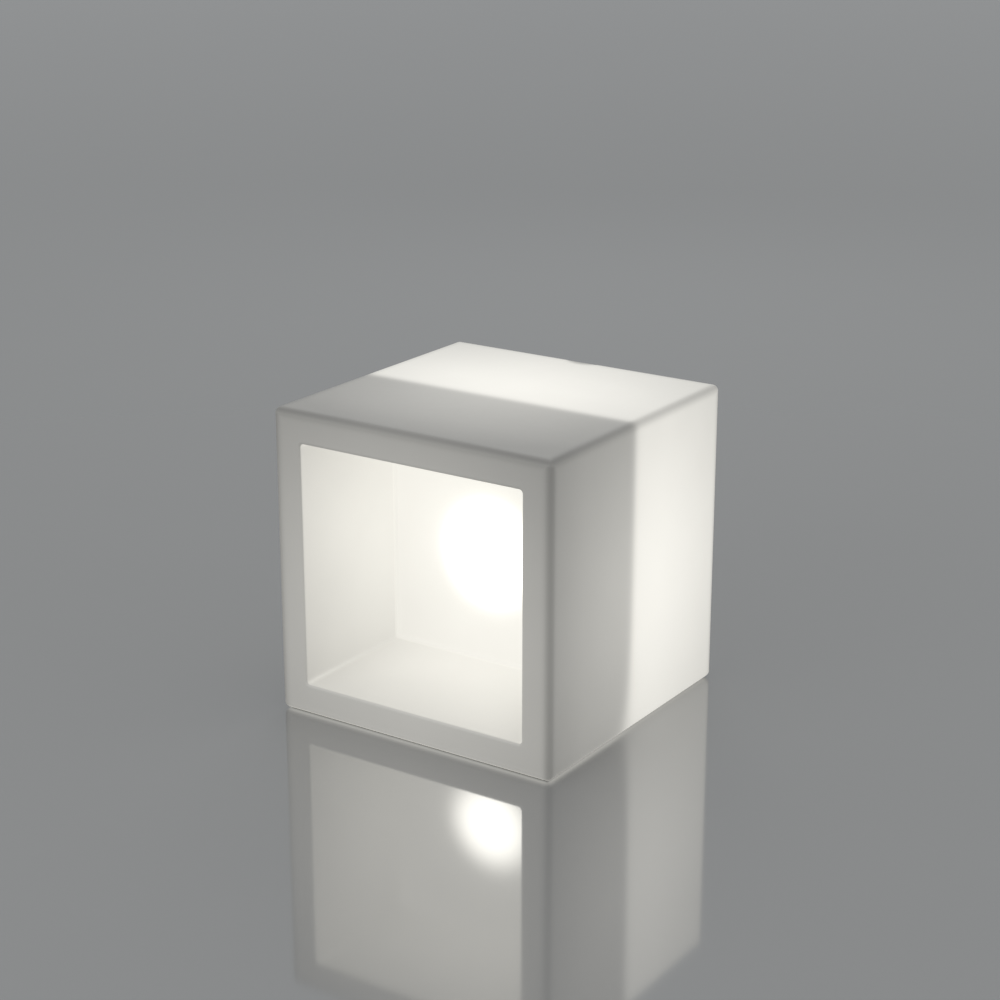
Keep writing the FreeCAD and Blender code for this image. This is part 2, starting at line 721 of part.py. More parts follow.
for i, angle in enumerate(cradleScrewAngles):
    x, z = onCircle(cradleScrewCircle, angle)
    z = axisZ + " + " + z
    tip = "(%s - %s)" % (bulkheadRear, bulkheadBite)
    housingTools.append(disc("cradle_thread_%d" % i, smallThread, tip, beyond(bulkheadRear), x, z))
    cradleTools.append(disc("cradle_hole_%d" % i, smallHole, before(bulkheadRear), beyond(cradleRear),
                            x, z))
    cradleScrews.append(screw("cradle_screw_%d" % i, "Sizes.small_screw_radius", "Sizes.small_head_radius",
                              "Sizes.small_head_height", tip + " + Sizes.seat_gap", cradleRear, x, z))
ledScrews = []
spreaderTools = []
ledBoardTools = []
for i, angle in enumerate(ledScrewAngles):
    x, z = onCircle(ledScrewCircle, angle)
    z = axisZ + " + " + z
    tip = "(%s + %s)" % (bulkheadFront, bulkheadBite)
    housingTools.append(disc("led_thread_%d" % i, smallThread, before(bulkheadFront), tip, x, z))
    spreaderTools.append(disc("spreader_hole_%d" % i, smallHole, before(spreaderFront),
                              beyond(bulkheadFront), x, z))
    ledBoardTools.append(disc("led_board_hole_%d" % i, smallHole, before(ledBoardFront),
                              beyond(spreaderFront), x, z))
    ledScrews.append(fuse("led_screw_%d" % i, [
        disc("led_screw_shank_%d" % i, "Sizes.small_screw_radius", before(ledBoardFront),
             tip + " - Sizes.seat_gap", x, z),
        disc("led_screw_head_%d" % i, "Sizes.small_head_radius",
             ledBoardFront + " - Sizes.small_head_height", ledBoardFront, x, z)]))
grommetX, grommetZ = onCircle(grommetCircle, grommetAngle)
grommetZ = axisZ + " + " + grommetZ
housingTools.append(disc("grommet_hole", "Sizes.grommet_radius", before(bulkheadFront),
                         beyond(bulkheadRear), grommetX, grommetZ))
keep(cut("housing", fuse("housing_body", [housingForm] + lugs), housingTools), "engine_housing")

sealOuter = "(%s - Sizes.seat_gap)" % flangeRadius
sealInner = "(%s - Sizes.seal_width)" % sealOuter
keep(ring("seal", sealInner, sealOuter, sealFront, flangeFront, z=axisZ), "engine_seal")
capGasketRing = ring("cap_gasket_ring", housingBore + " + Sizes.seat_gap", sealOuter, flangeRear, capFront,
                     z=axisZ)
keep(cut("cap_gasket_sheet", capGasketRing, capGasketTools), "cap_gasket")
keep(group("cap_screw_set", capScrews), "cap_screws")


# ---- the cap: rear cover with grip, button sleeves, board posts and the cover's hinge ears ----

plate = lathe("cap_plate", [
    ("0", capFront),
    (flangeRadius, capFront),
    (flangeRadius, capRear + " - Sizes.cap_chamfer"),
    (flangeRadius + " - Sizes.cap_chamfer", capRear),
    ("0", capRear),
])
put(plate, z=axisZ)
grip = roundedBlock("grip_bar", "Sizes.grip_length", "(Sizes.grip_height + Sizes.grip_radius)",
                    "Sizes.grip_width", "Sizes.grip_radius")
put(grip, y=capRear + " + (Sizes.grip_height - Sizes.grip_radius) / 2", z=axisZ + " - Sizes.grip_width / 2")

buttonHole = "(Sizes.button_radius + Sizes.running_gap)"
sleeveRadius = "(%s + Sizes.sleeve_wall)" % buttonHole
sleeveEnd = "(%s - Sizes.sleeve_length)" % capFront
buttonZ = axisZ + " + Sizes.button_z"
buttonPlaces = {"power": "-Sizes.button_x", "dimmer": "Sizes.button_x"}
socketZ = "(%s - Sizes.socket_drop)" % axisZ
hingeZ = "(%s + Sizes.hinge_rise)" % socketZ
hingeY = "(%s + Sizes.knuckle_radius + Sizes.seat_gap)" % capRear
coverHalf = "Sizes.cover_width / 2"
earInner = "(%s + Sizes.seat_gap)" % coverHalf
earOuter = "(%s + Sizes.hinge_ear_width)" % earInner
ventX, ventRise = onCircle("%s - Sizes.vent_inset" % housingBore, 315)
ventZ = axisZ + " + " + ventRise
postAngles = (20.0, 160.0, 200.0, 340.0)

capParts = [plate, grip]
for name, x in buttonPlaces.items():
    capParts.append(disc("sleeve_" + name, sleeveRadius, sleeveEnd, beyond(capFront), x, buttonZ))
    capTools.append(disc("button_hole_" + name, buttonHole, before(sleeveEnd), beyond(capRear), x, buttonZ))
boardScrews = []
boardTools = []
for i, angle in enumerate(postAngles):
    x, z = onCircle("Sizes.board_radius - Sizes.post_inset", angle)
    z = axisZ + " + " + z
    capParts.append(disc("post_%d" % i, "Sizes.post_radius", boardRear, beyond(capFront), x, z))
    capTools.append(disc("post_thread_%d" % i, smallThread, before(boardRear),
                         boardRear + " + Sizes.board_drop * 2 / 3", x, z))
    boardTools.append(disc("board_hole_%d" % i, smallHole, before(boardFront), beyond(boardRear), x, z))
    boardScrews.append(fuse("board_screw_%d" % i, [
        disc("board_screw_shank_%d" % i, "Sizes.small_screw_radius", before(boardFront),
             boardRear + " + Sizes.board_drop / 2", x, z),
        disc("board_screw_head_%d" % i, "Sizes.small_head_radius",
             boardFront + " - Sizes.small_head_height", boardFront, x, z)]))
for side, left, right in (("left", "-" + earOuter, "-" + earInner), ("right", earInner, earOuter)):
    capParts.append(box("ear_block_" + side, left, right, before(capRear), hingeY,
                        hingeZ + " - Sizes.knuckle_radius", hingeZ + " + Sizes.knuckle_radius"))
    capParts.append(rod("ear_round_" + side, "Sizes.knuckle_radius", left, right, hingeY, hingeZ))
capTools.append(rod("ear_bore", "Sizes.hinge_pin_radius + Sizes.thread_gap / 2", before("-" + earOuter),
                    beyond(earOuter), hingeY, hingeZ))
capTools.append(disc("socket_hole", "Sizes.socket_radius + Sizes.running_gap", before(capFront),
                     beyond(capRear), z=socketZ))
capTools.append(disc("pipe_hole", "Sizes.pipe_radius + Sizes.running_gap / 2", before(capFront),
                     beyond(capRear), z=buttonZ))
capTools.append(disc("vent_hole", "Sizes.vent_radius + Sizes.running_gap", before(capFront),
                     beyond(capRear), ventX, ventZ))
keep(cut("cap", fuse("cap_body", capParts), capTools), "engine_cap")


# ---- buttons, their O-rings and the switches under them ----

buttonTop = "(%s + Sizes.button_proud)" % capRear
catchRear = "(%s - Sizes.running_gap)" % sleeveEnd
catchFront = "(%s - Sizes.button_collar_height)" % catchRear
switchTop = "(%s + Sizes.switch_height)" % boardRear
plungerTop = "(%s + Sizes.plunger_height)" % switchTop
stemEnd = "(%s + Sizes.button_travel + Sizes.running_gap)" % plungerTop
grooveMiddle = "(%s + Sizes.cap_thickness / 2)" % capFront
grooveHalf = "(Sizes.ring_section_radius + Sizes.thread_gap)"
grooveRadius = "(Sizes.button_radius - 2 * Sizes.ring_section_radius - Sizes.thread_gap)"
switches = []
for name, x in buttonPlaces.items():
    button = lathe(name + "_button_form", [
        ("0", stemEnd),
        ("Sizes.stem_radius", stemEnd),
        ("Sizes.stem_radius", catchFront),
        ("Sizes.button_collar_radius", catchFront),
        ("Sizes.button_collar_radius", catchRear),
        ("Sizes.button_radius", catchRear),
        ("Sizes.button_radius", "%s - %s" % (grooveMiddle, grooveHalf)),
        (grooveRadius, "%s - %s" % (grooveMiddle, grooveHalf)),
        (grooveRadius, "%s + %s" % (grooveMiddle, grooveHalf)),
        ("Sizes.button_radius", "%s + %s" % (grooveMiddle, grooveHalf)),
        ("Sizes.button_radius", buttonTop + " - Sizes.button_proud / 2"),
        ("Sizes.button_radius - Sizes.button_proud / 2", buttonTop),
        ("0", buttonTop),
    ])
    keep(put(button, x, z=buttonZ), name + "_button")
    oRing = doc.addObject("Part::Torus", name + "_ring_form")
    bind(oRing, "Radius1", "Sizes.button_radius - Sizes.ring_section_radius")
    bind(oRing, "Radius2", "Sizes.ring_section_radius")
    keep(put(oRing, x, grooveMiddle, buttonZ, ALONG_Y), name + "_button_ring")
    half = "Sizes.switch_size / 2"
    switches.append(fuse("switch_" + name, [
        box("switch_body_" + name, "%s - %s" % (x, half), "%s + %s" % (x, half), boardRear, switchTop,
            "%s - %s" % (buttonZ, half), "%s + %s" % (buttonZ, half)),
        disc("switch_plunger_" + name, "Sizes.plunger_radius", before(switchTop), plungerTop, x, buttonZ)]))
keep(group("switch_set", switches), "tact_switches")

pipe = lathe("pipe_form", [
    ("0", capFront + " - Sizes.sleeve_length"),
    ("Sizes.pipe_radius", capFront + " - Sizes.sleeve_length"),
    ("Sizes.pipe_radius", capFront + " - Sizes.pipe_flange"),
    ("Sizes.pipe_radius + Sizes.pipe_flange", capFront + " - Sizes.pipe_flange"),
    ("Sizes.pipe_radius + Sizes.pipe_flange", capFront),
    ("Sizes.pipe_radius", capFront),
    ("Sizes.pipe_radius", capRear + " + Sizes.pipe_proud"),
    ("0", capRear + " + Sizes.pipe_proud"),
])
keep(put(pipe, z=buttonZ), "indicator_pipe")

vent = lathe("vent_form", [
    ("0", capFront + " - Sizes.vent_reach"),
    ("Sizes.vent_radius", capFront + " - Sizes.vent_reach"),
    ("Sizes.vent_radius", capRear),
    ("Sizes.vent_head_radius", capRear),
    ("Sizes.vent_head_radius", capRear + " + Sizes.vent_head_height / 2"),
    ("Sizes.vent_head_radius - Sizes.vent_head_height / 2", capRear + " + Sizes.vent_head_height"),
    ("0", capRear + " + Sizes.vent_head_height"),
])
keep(put(vent, ventX, z=ventZ), "vent_plug")


# ---- charge socket, its nut and its hinged cover ----

socketTop = "(%s + Sizes.socket_flange_height)" % capRear
socketBody = lathe("socket_form", [
    ("0", boardRear),
    ("Sizes.socket_radius", boardRear),
    ("Sizes.socket_radius", capRear),
    ("Sizes.socket_flange_radius", capRear),
    ("Sizes.socket_flange_radius", socketTop),
    ("Sizes.socket_mouth_radius", socketTop),
    ("Sizes.socket_mouth_radius", socketTop + " - Sizes.socket_mouth_depth"),
    ("Sizes.socket_pin_radius", socketTop + " - Sizes.socket_mouth_depth"),
    ("Sizes.socket_pin_radius", capRear + " - Sizes.socket_pin_drop"),
    ("0", capRear + " - Sizes.socket_pin_drop"),
])
keep(put(socketBody, z=socketZ), "charge_socket")
nut = doc.addObject("Part::Prism", "nut_form")
nut.Polygon = 6
bind(nut, "Circumradius", "Sizes.nut_radius")
bind(nut, "Height", "Sizes.nut_height")
put(nut, "0", capFront, socketZ, ALONG_Y)
nutBore = disc("nut_bore", "Sizes.socket_radius + Sizes.thread_gap",
               before(capFront + " - Sizes.nut_height"), beyond(capFront), z=socketZ)
keep(cut("nut", nut, [nutBore]), "socket_nut")

coverFront = "(%s + Sizes.seat_gap)" % socketTop
coverRear = "(%s + Sizes.cover_thickness)" % coverFront
coverPlate = box("cover_plate", "-" + coverHalf, coverHalf, coverFront, coverRear,
                 hingeZ + " - Sizes.cover_length", hingeZ)
coverKnuckle = rod("cover_knuckle", "Sizes.knuckle_radius", "-" + coverHalf, coverHalf, hingeY, hingeZ)
coverPlug = disc("cover_plug", "Sizes.socket_mouth_radius - 1.5 * Sizes.seat_gap",
                 socketTop + " - Sizes.socket_flange_height", beyond(coverFront), z=socketZ)
coverBore = rod("cover_bore", "Sizes.hinge_pin_radius + Sizes.thread_gap", before("-" + coverHalf),
                beyond(coverHalf), hingeY, hingeZ)
keep(cut("cover", fuse("cover_body", [coverPlate, coverKnuckle, coverPlug]), [coverBore]), "port_cover")
keep(rod("cover_pin_form", "Sizes.hinge_pin_radius", "-" + earOuter, earOuter, hingeY, hingeZ),
     "port_cover_pin")


# ---- control board with its parts ----

boardDisc = disc("board_disc", "Sizes.board_radius", boardFront, boardRear, z=axisZ)
keep(cut("board", boardDisc, boardTools), "control_board")
keep(group("board_screw_set", boardScrews), "board_screws")


def steps(count):
    """A length of so many steps of the board's grid, as an expression."""
    return "%g * Sizes.board_grid" % count


def chip(name, x, z, wide, tall, height):
    """A box-shaped component on the front of the control board, placed in steps of its grid."""
    return box(name, steps(x - wide / 2), steps(x + wide / 2), "%s - %s" % (boardFront, height), boardFront,
               "%s + %s" % (axisZ, steps(z - tall / 2)), "%s + %s" % (axisZ, steps(z + tall / 2)))


def can(name, x, z, radius, height):
    """A round component on the front of the control board, placed in steps of its grid."""
    return disc(name, steps(radius), "%s - %s" % (boardFront, height), boardFront,
                steps(x), "%s + %s" % (axisZ, steps(z)))


components = [
    chip("driver_chip", x=-6, z=6, wide=8, tall=6, height=steps(1.5)),
    chip("charger_chip", x=8, z=-6, wide=6, tall=6, height=steps(1.5)),
    chip("microcontroller", x=10, z=12, wide=7, tall=7, height=steps(1.2)),
    chip("led_plug_housing", x=14, z=27, wide=9, tall=5, height="Sizes.plug_height"),
    chip("battery_plug_housing", x=-14, z=-24, wide=9, tall=5, height="Sizes.plug_height"),
    box("indicator_led", steps(-1.5), steps(1.5), boardRear, "%s + %s" % (boardRear, steps(1.5)),
        "%s - %s" % (buttonZ, steps(1)), "%s + %s" % (buttonZ, steps(1))),
    can("choke", x=-12, z=-8, radius=5, height=steps(6)),
    can("smoothing_capacitor", x=-16, z=10, radius=4, height=steps(7)),
    can("input_capacitor", x=0, z=-20, radius=3.2, height=steps(7)),
]
keep(group("component_set", components), "board_parts")


# ---- battery: three cells in parallel in a cradle, under a clamp plate ----

cells = []
for i, angle in enumerate(cellAngles):
    x, z = onCircle("Sizes.cell_circle", angle)
    cells.append(disc("cell_%d" % i, "Sizes.cell_radius", cellFront, cellRear, x, axisZ + " + " + z))
keep(group("cell_set", cells), "battery_cells")

keep(group("link_set", [
    ring("link_front", linkInner, linkOuter, cradleRear, cellFront, z=axisZ),
    ring("link_rear", linkInner, linkOuter, cellRear, clampFront, z=axisZ)]), "cell_links")

cradleParts = [disc("cradle_disc", cradleRadius, bulkheadRear, cradleRear, z=axisZ),
               disc("cradle_post", "Sizes.cradle_post_radius", bulkheadRear, clampFront, z=axisZ)]
tubeBore = "(Sizes.cell_radius + 2 * Sizes.running_gap)"
tubeFront = "(%s + 2 * Sizes.seat_gap)" % cellFront
tubeRear = "(%s + Sizes.cradle_tube_length)" % tubeFront
for i, angle in enumerate(cellAngles):
    x, z = onCircle("Sizes.cell_circle", angle)
    z = axisZ + " + " + z
    cradleParts.append(disc("cradle_tube_%d" % i, tubeBore + " + Sizes.cradle_tube_wall", tubeFront,
                            tubeRear, x, z))
    cradleTools.append(disc("cradle_tube_bore_%d" % i, tubeBore, cellFront, beyond(tubeRear), x, z))
webHalf = "Sizes.cradle_tube_wall / 2"
for i, angle in enumerate(cellAngles):
    web = doc.addObject("Part::Box", "cradle_web_%d" % i)
    bind(web, "Length", "Sizes.cell_circle - Sizes.cell_radius")
    bind(web, "Width", "Sizes.cradle_tube_wall")
    bind(web, "Height", "Sizes.cradle_tube_length")
    turn = ALONG_Y.multiply(Rotation(Vector(0, 0, 1), angle))
    cradleParts.append(put(web, "%s * sin(%g deg)" % (webHalf, angle), tubeRear,
                           "%s - %s * cos(%g deg)" % (axisZ, webHalf, angle), turn))
cradleTools.append(disc("cradle_lead_hole", "Sizes.grommet_radius + Sizes.seat_gap", before(bulkheadRear),
                        beyond(cradleRear), grommetX, grommetZ))
clampTip = "(%s - Sizes.clamp_screw_bite)" % clampFront
cradleTools.append(disc("clamp_thread", smallThread, clampTip, beyond(clampFront), z=axisZ))
keep(cut("cradle", fuse("cradle_body", cradleParts), cradleTools), "battery_cradle")
keep(group("cradle_screw_set", cradleScrews), "cradle_screws")

plusX, plusZ = onCircle("Sizes.cell_circle", 150.0)
plusZ = axisZ + " + " + plusZ
notchX, notchZ = onCircle(clampRadius, grommetAngle)
clampDisc = disc("clamp_disc", clampRadius, clampFront, clampRear, z=axisZ)
keep(cut("clamp", clampDisc, [
    disc("clamp_hole", smallHole, before(clampFront), beyond(clampRear), z=axisZ),
    disc("clamp_lead_hole", "Sizes.lead_radius + Sizes.seat_gap", before(clampFront), beyond(clampRear),
         plusX, plusZ),
    disc("clamp_notch", "2 * Sizes.lead_hole_radius", before(clampFront), beyond(clampRear),
         notchX, axisZ + " + " + notchZ)]), "battery_clamp")
keep(screw("clamp_screw_form", "Sizes.small_screw_radius", "Sizes.small_head_radius",
           "Sizes.small_head_height", clampTip + " + Sizes.seat_gap", clampRear, "0", axisZ), "clamp_screw")


# ---- leads ----

def tube(name, points, radius):
    """A round lead along straight runs joined by tangent arcs as large as the runs allow."""
    edges = []
    start = points[0]
    for before, corner, after in zip(points, points[1:], points[2:]):
        inward = (before - corner).normalize()
        outward = (after - corner).normalize()
        turn = math.pi - inward.getAngle(outward)
        reach = 0.45 * min(before.distanceToPoint(corner), corner.distanceToPoint(after))
        bend = reach / math.tan(turn / 2)
        first = corner + inward * reach
        second = corner + outward * reach
        middle = corner + (inward + outward).normalize() * (math.hypot(reach, bend) - bend)
        edges.append(Part.LineSegment(start, first).toShape())
        edges.append(Part.Arc(first, middle, second).toShape())
        start = second
    edges.append(Part.LineSegment(start, points[-1]).toShape())
    path = Part.Wire(edges)
    along = (points[1] - points[0]).normalize()
    section = Part.Wire([Part.makeCircle(radius, points[0], along)])
    thing = doc.addObject("Part::Feature", name)
    thing.Shape = path.makePipeShell([section], True, False)
    return thing


def leadPoint(circle, angle, depth):
    """A point of a lead from its distance and angle about the axis and its place along it."""
    radius = value(circle)
    turned = math.radians(angle)
    return Vector(radius * math.cos(turned), value(depth), value(axisZ) + radius * math.sin(turned))


leadRadius = value("Sizes.lead_radius")
leadPitch = math.degrees(1.6 * leadRadius / value(grommetCircle))
plugCircle = clampRadius + " - Sizes.lead_inset"
plugFront = "(%s - Sizes.plug_height)" % boardFront
ledLeads = []
for side, sign in (("red", -1), ("black", 1)):
    angle = grommetAngle + sign * leadPitch
    ledLeads.append(tube("led_lead_" + side, [
        leadPoint(plugCircle, angle + sign, plugFront),
        leadPoint(plugCircle, angle + sign, plugFront + " - 2.5"),
        leadPoint(grommetCircle, angle, clampFront + " - 4"),
        leadPoint(grommetCircle, angle, spreaderFront),
    ], leadRadius))
keep(group("led_lead_set", ledLeads), "led_leads")

minusCircle = "(%s - 2 * Sizes.lead_radius)" % linkOuter
besideClamp = clampRadius + " + Sizes.lead_clearance"
boardEdge = "Sizes.board_radius - Sizes.lead_inset"
minusAngle = 270.0
keep(group("battery_lead_set", [
    disc("plus_lead", "Sizes.lead_radius", clampFront, boardFront, plusX, plusZ),
    tube("minus_lead", [
        leadPoint(minusCircle, minusAngle, cellFront),
        leadPoint(minusCircle, minusAngle, cellFront + " + 9"),
        leadPoint(besideClamp, minusAngle, cellFront + " + 24"),
        leadPoint(besideClamp, minusAngle, clampRear + " - 3"),
        leadPoint(boardEdge, minusAngle, boardFront + " - 5"),
        leadPoint(boardEdge, minusAngle, boardFront),
    ], leadRadius)]), "battery_leads")

grommet = lathe("grommet_form", [
    ("Sizes.lead_hole_radius", bulkheadFront),
    ("Sizes.grommet_radius - Sizes.thread_gap", bulkheadFront),
    ("Sizes.grommet_radius - Sizes.thread_gap", cradleRear),
    ("Sizes.lead_hole_radius", cradleRear),
])
keep(put(grommet, grommetX, z=grommetZ), "lead_grommet")


# ---- light source: heat spreader, board with its lamps, and the dome that a ring clamps ----

spreaderDisc = disc("spreader_disc", spreaderRadius, spreaderFront, bulkheadFront, z=axisZ)
spreaderTools.append(disc("spreader_lead_hole", "Sizes.lead_hole_radius", before(spreaderFront),
                          beyond(bulkheadFront), grommetX, grommetZ))
keep(cut("spreader", spreaderDisc, spreaderTools), "heat_spreader")
ledBoardDisc = disc("led_board_disc", ledBoardRadius, ledBoardFront, spreaderFront, z=axisZ)
keep(cut("led_board_form", ledBoardDisc, ledBoardTools), "led_board")
keep(group("led_screw_set", ledScrews), "led_board_screws")

lamps = []
ledHalf = "Sizes.led_size / 2"
for inset, count in (("Sizes.led_inner_inset", 8), ("Sizes.led_outer_inset", 16)):
    for angle in anglesOf(count, first=11.25):
        x, z = onCircle("%s - %s" % (ledBoardRadius, inset), angle)
        z = axisZ + " + " + z
        lamps.append(box("led_%02d" % len(lamps), "%s - %s" % (x, ledHalf), "%s + %s" % (x, ledHalf),
                         ledBoardFront + " - Sizes.led_height", ledBoardFront,
                         "%s - %s" % (z, ledHalf), "%s + %s" % (z, ledHalf)))
keep(group("lamp_set", lamps), "leds")

domeFlangeRadius = "(%s - Sizes.running_gap)" % threadRadius
domeRadius = "(%s - Sizes.dome_flange)" % domeFlangeRadius
keep(ring("dome_seal_ring", throatRadius, domeFlangeRadius, domeFlangeRear, rimFront, z=axisZ),
     "dome_seal")


def halfBall(name, radius, flat):
    """Half of a ball whose flat side is in a plane and whose top points to the front."""
    thing = doc.addObject("Part::Sphere", name)
    bind(thing, "Radius", radius)
    thing.Angle1 = 0
    return put(thing, "0", flat, axisZ, ALONG_Y)


domeOutside = fuse("dome_outside", [
    halfBall("dome_ball", domeRadius, domeFlangeRear),
    disc("dome_flange", domeFlangeRadius, domeFlangeFront, domeFlangeRear, z=axisZ)])
keep(cut("dome", domeOutside, [halfBall("dome_hollow", domeRadius + " - Sizes.dome_wall", domeFlangeRear)]),
     "diffuser_dome")

ringLipBore = "(%s + Sizes.seat_gap)" % domeRadius
domeRingForm = lathe("dome_ring_form", [
    (ringLipBore, domeRingFront),
    ("Sizes.housing_radius", domeRingFront),
    ("Sizes.housing_radius", threadRear + " - Sizes.seat_gap"),
    (threadRadius + " + Sizes.running_gap", threadRear + " - Sizes.seat_gap"),
    (threadRadius + " + Sizes.running_gap", domeFlangeFront),
    (ringLipBore, domeFlangeFront),
])
keep(put(domeRingForm, z=axisZ), "dome_ring")


# ---- checks, then one file for each sub-part ----

doc.recompute()
for thing in doc.Objects:
    if "Invalid" in thing.State or "Error" in thing.State:
        raise RuntimeError("%s (%s) failed: %s" % (thing.Name, thing.Label, thing.State))
for thing in pieces:
    if thing.Shape.isNull() or not thing.Shape.isValid() or not thing.Shape.Solids:
        raise RuntimeError("%s has no sound solid" % thing.Label)

os.makedirs("parts", exist_ok=True)
for thing in pieces:
    thing.Shape.exportStep("parts/%s.step" % thing.Label)
whole = Part.makeCompound([thing.Shape for thing in pieces]).BoundBox
print("%d nodes, %.1f x %.1f x %.1f mm" % (len(pieces), whole.XLength, whole.YLength, whole.ZLength))
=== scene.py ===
import json
import math

import bmesh
import bpy
import numpy as np
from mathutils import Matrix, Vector


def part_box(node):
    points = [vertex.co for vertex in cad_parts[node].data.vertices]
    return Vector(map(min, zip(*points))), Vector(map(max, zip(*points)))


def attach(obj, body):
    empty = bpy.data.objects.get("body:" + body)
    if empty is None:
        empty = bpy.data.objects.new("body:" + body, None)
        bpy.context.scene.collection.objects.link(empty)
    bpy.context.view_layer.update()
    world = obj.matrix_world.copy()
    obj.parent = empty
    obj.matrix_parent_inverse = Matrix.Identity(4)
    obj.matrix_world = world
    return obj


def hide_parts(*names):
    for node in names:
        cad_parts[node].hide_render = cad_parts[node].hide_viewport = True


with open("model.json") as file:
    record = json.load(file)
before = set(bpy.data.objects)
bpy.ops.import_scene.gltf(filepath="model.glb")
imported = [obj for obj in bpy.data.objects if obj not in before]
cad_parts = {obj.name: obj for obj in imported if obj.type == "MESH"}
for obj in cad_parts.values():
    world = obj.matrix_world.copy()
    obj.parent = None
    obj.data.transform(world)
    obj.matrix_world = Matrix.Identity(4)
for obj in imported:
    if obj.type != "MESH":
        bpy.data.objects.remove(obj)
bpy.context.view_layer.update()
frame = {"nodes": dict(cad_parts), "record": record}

nodes = frame["nodes"]
mm = 0.001  # the dictionaries below are in millimetres, the meshes in metres


def gridFaces(grid, loop):
    # quads between the neighbours of grid[row, column]; columns run once round, rows run on, or round again
    # where loop is set; an end that is left open is closed by a fan to the middle of its row
    rows, cols = grid.shape[:2]
    points = grid.reshape(-1, 3)
    i, j = np.meshgrid(np.arange(rows if loop else rows - 1), np.arange(cols), indexing="ij")
    below, right = (i + 1) % rows, (j + 1) % cols
    corners = [i * cols + j, i * cols + right, below * cols + right, below * cols + j]
    quads = np.stack(corners, -1).reshape(-1, 4)
    fans = np.zeros((0, 3), int)
    if not loop:
        first = np.arange(cols)
        last = first + (rows - 1) * cols
        hub = np.full(cols, len(points))
        fans = np.vstack([np.stack([np.roll(first, -1), first, hub], 1),
                          np.stack([last, np.roll(last, -1), hub + 1], 1)])
        points = np.vstack([points, grid[0].mean(0), grid[-1].mean(0)])
    triangles = np.vstack([quads[:, [0, 1, 2]], quads[:, [0, 2, 3]], fans])
    a, b, c = (points[triangles[:, k]] for k in range(3))
    if np.einsum("ij,ij->", a, np.cross(b, c)) < 0:  # a negative volume: the faces look inwards
        quads, fans = quads[:, ::-1], fans[:, ::-1]
    return points, quads, fans


def surface(name, *grids, loop=False, creases=40):
    # one mesh from one or more grids of points in millimetres; edges that turn by more than creases degrees
    # stay sharp
    points, faces, start = [], [], 0
    for grid in grids:
        corners, quads, fans = gridFaces(grid, loop)
        points.append(corners)
        faces += (quads + start).tolist() + (fans + start).tolist()
        start += len(corners)
    mesh = bpy.data.meshes.new(name)
    mesh.from_pydata((np.vstack(points) * mm).tolist(), [], faces)
    mesh.shade_smooth()
    mesh.set_sharp_from_angle(angle=math.radians(creases))
    piece = bpy.data.objects.new(name, mesh)
    bpy.context.scene.collection.objects.link(piece)
    return piece


def roundPath(corners, radii, guard=0.05, closed=False):
    # a corner P with radius r gives way to the arc about C = P + (a + b) r / (|a + b| cos(t/2)), where a
    # and b point to its neighbours and t is the turn there; a guard point on each side keeps the flats flat
    corners = np.array(corners, float)
    count, steps = len(corners), 4
    path = []
    for k in range(count):
        here, r = corners[k], radii[k]
        if r <= 0 or (not closed and k in (0, count - 1)):
            path.append(here[None])
            continue
        a, b = corners[k - 1] - here, corners[(k + 1) % count] - here
        a, b = a / np.linalg.norm(a), b / np.linalg.norm(b)
        turn = math.acos(np.clip(-a @ b, -1, 1))
        reach = r * math.tan(turn / 2)
        middle = here + (a + b) / np.linalg.norm(a + b) * r / math.cos(turn / 2)
        s = np.linspace(0, 1, steps + 1)[:, None]
        arc = middle + (np.sin((1 - s) * turn) * (here + a * reach - middle)
                        + np.sin(s * turn) * (here + b * reach - middle)) / math.sin(turn)
        path += [(here + a * (reach + guard))[None], arc, (here + b * (reach + guard))[None]]
    return np.vstack(path)


def placed(u, v, w, centre, axis):
    # u and v across the axis and w along it, moved to centre
    order = {"y": (u, w, v), "z": (u, v, w)}[axis]
    return np.stack(order, -1) + np.array(centre, float)


def lathe(name, profile, centre, axis="y", loop=False, turns=64):
    # point(row, a) = centre + radius[row] * (sin a, cos a) across the axis, height[row] along it
    a = np.linspace(0, 2 * np.pi, turns, endpoint=False)
    radius, height = np.asarray(profile, float).T
    u, v = np.outer(radius, np.sin(a)), np.outer(radius, np.cos(a))
    return surface(name, placed(u, v, np.repeat(height[:, None], turns, 1), centre, axis), loop=loop)


def softened(name, node, width):
    # a copy of a moulding whose sharp edges get a round of this width: its loose triangles are merged, its
    # flats are joined, and each edge that turns by more than crease gives way to an arc between its faces
    weld, flat, crease = 0.002, 0.5, 35  # millimetres, degrees, degrees
    piece = bpy.data.objects.new(name, nodes[node].data.copy())
    bpy.context.scene.collection.objects.link(piece)
    work = bmesh.new()
    work.from_mesh(piece.data)
    bmesh.ops.remove_doubles(work, verts=work.verts, dist=weld * mm)
    bmesh.ops.dissolve_limit(work, angle_limit=math.radians(flat), verts=work.verts, edges=work.edges)
    work.to_mesh(piece.data)
    work.free()
    piece.data.shade_smooth()
    piece.data.set_sharp_from_angle(angle=math.radians(crease))
    rounds = piece.modifiers.new("rounds", "BEVEL")
    rounds.width, rounds.segments = width * mm, 2
    rounds.limit_method, rounds.angle_limit = "ANGLE", math.radians(crease)
    rounds.harden_normals = True  # the flats beside a round keep a flat shading
    return piece


def plug(tree, slot, value):
    # a Wire is linked to the slot, anything else becomes its fixed value
    if isinstance(value, Wire):
        tree.links.new(value.socket, slot)
    else:
        slot.default_value = value


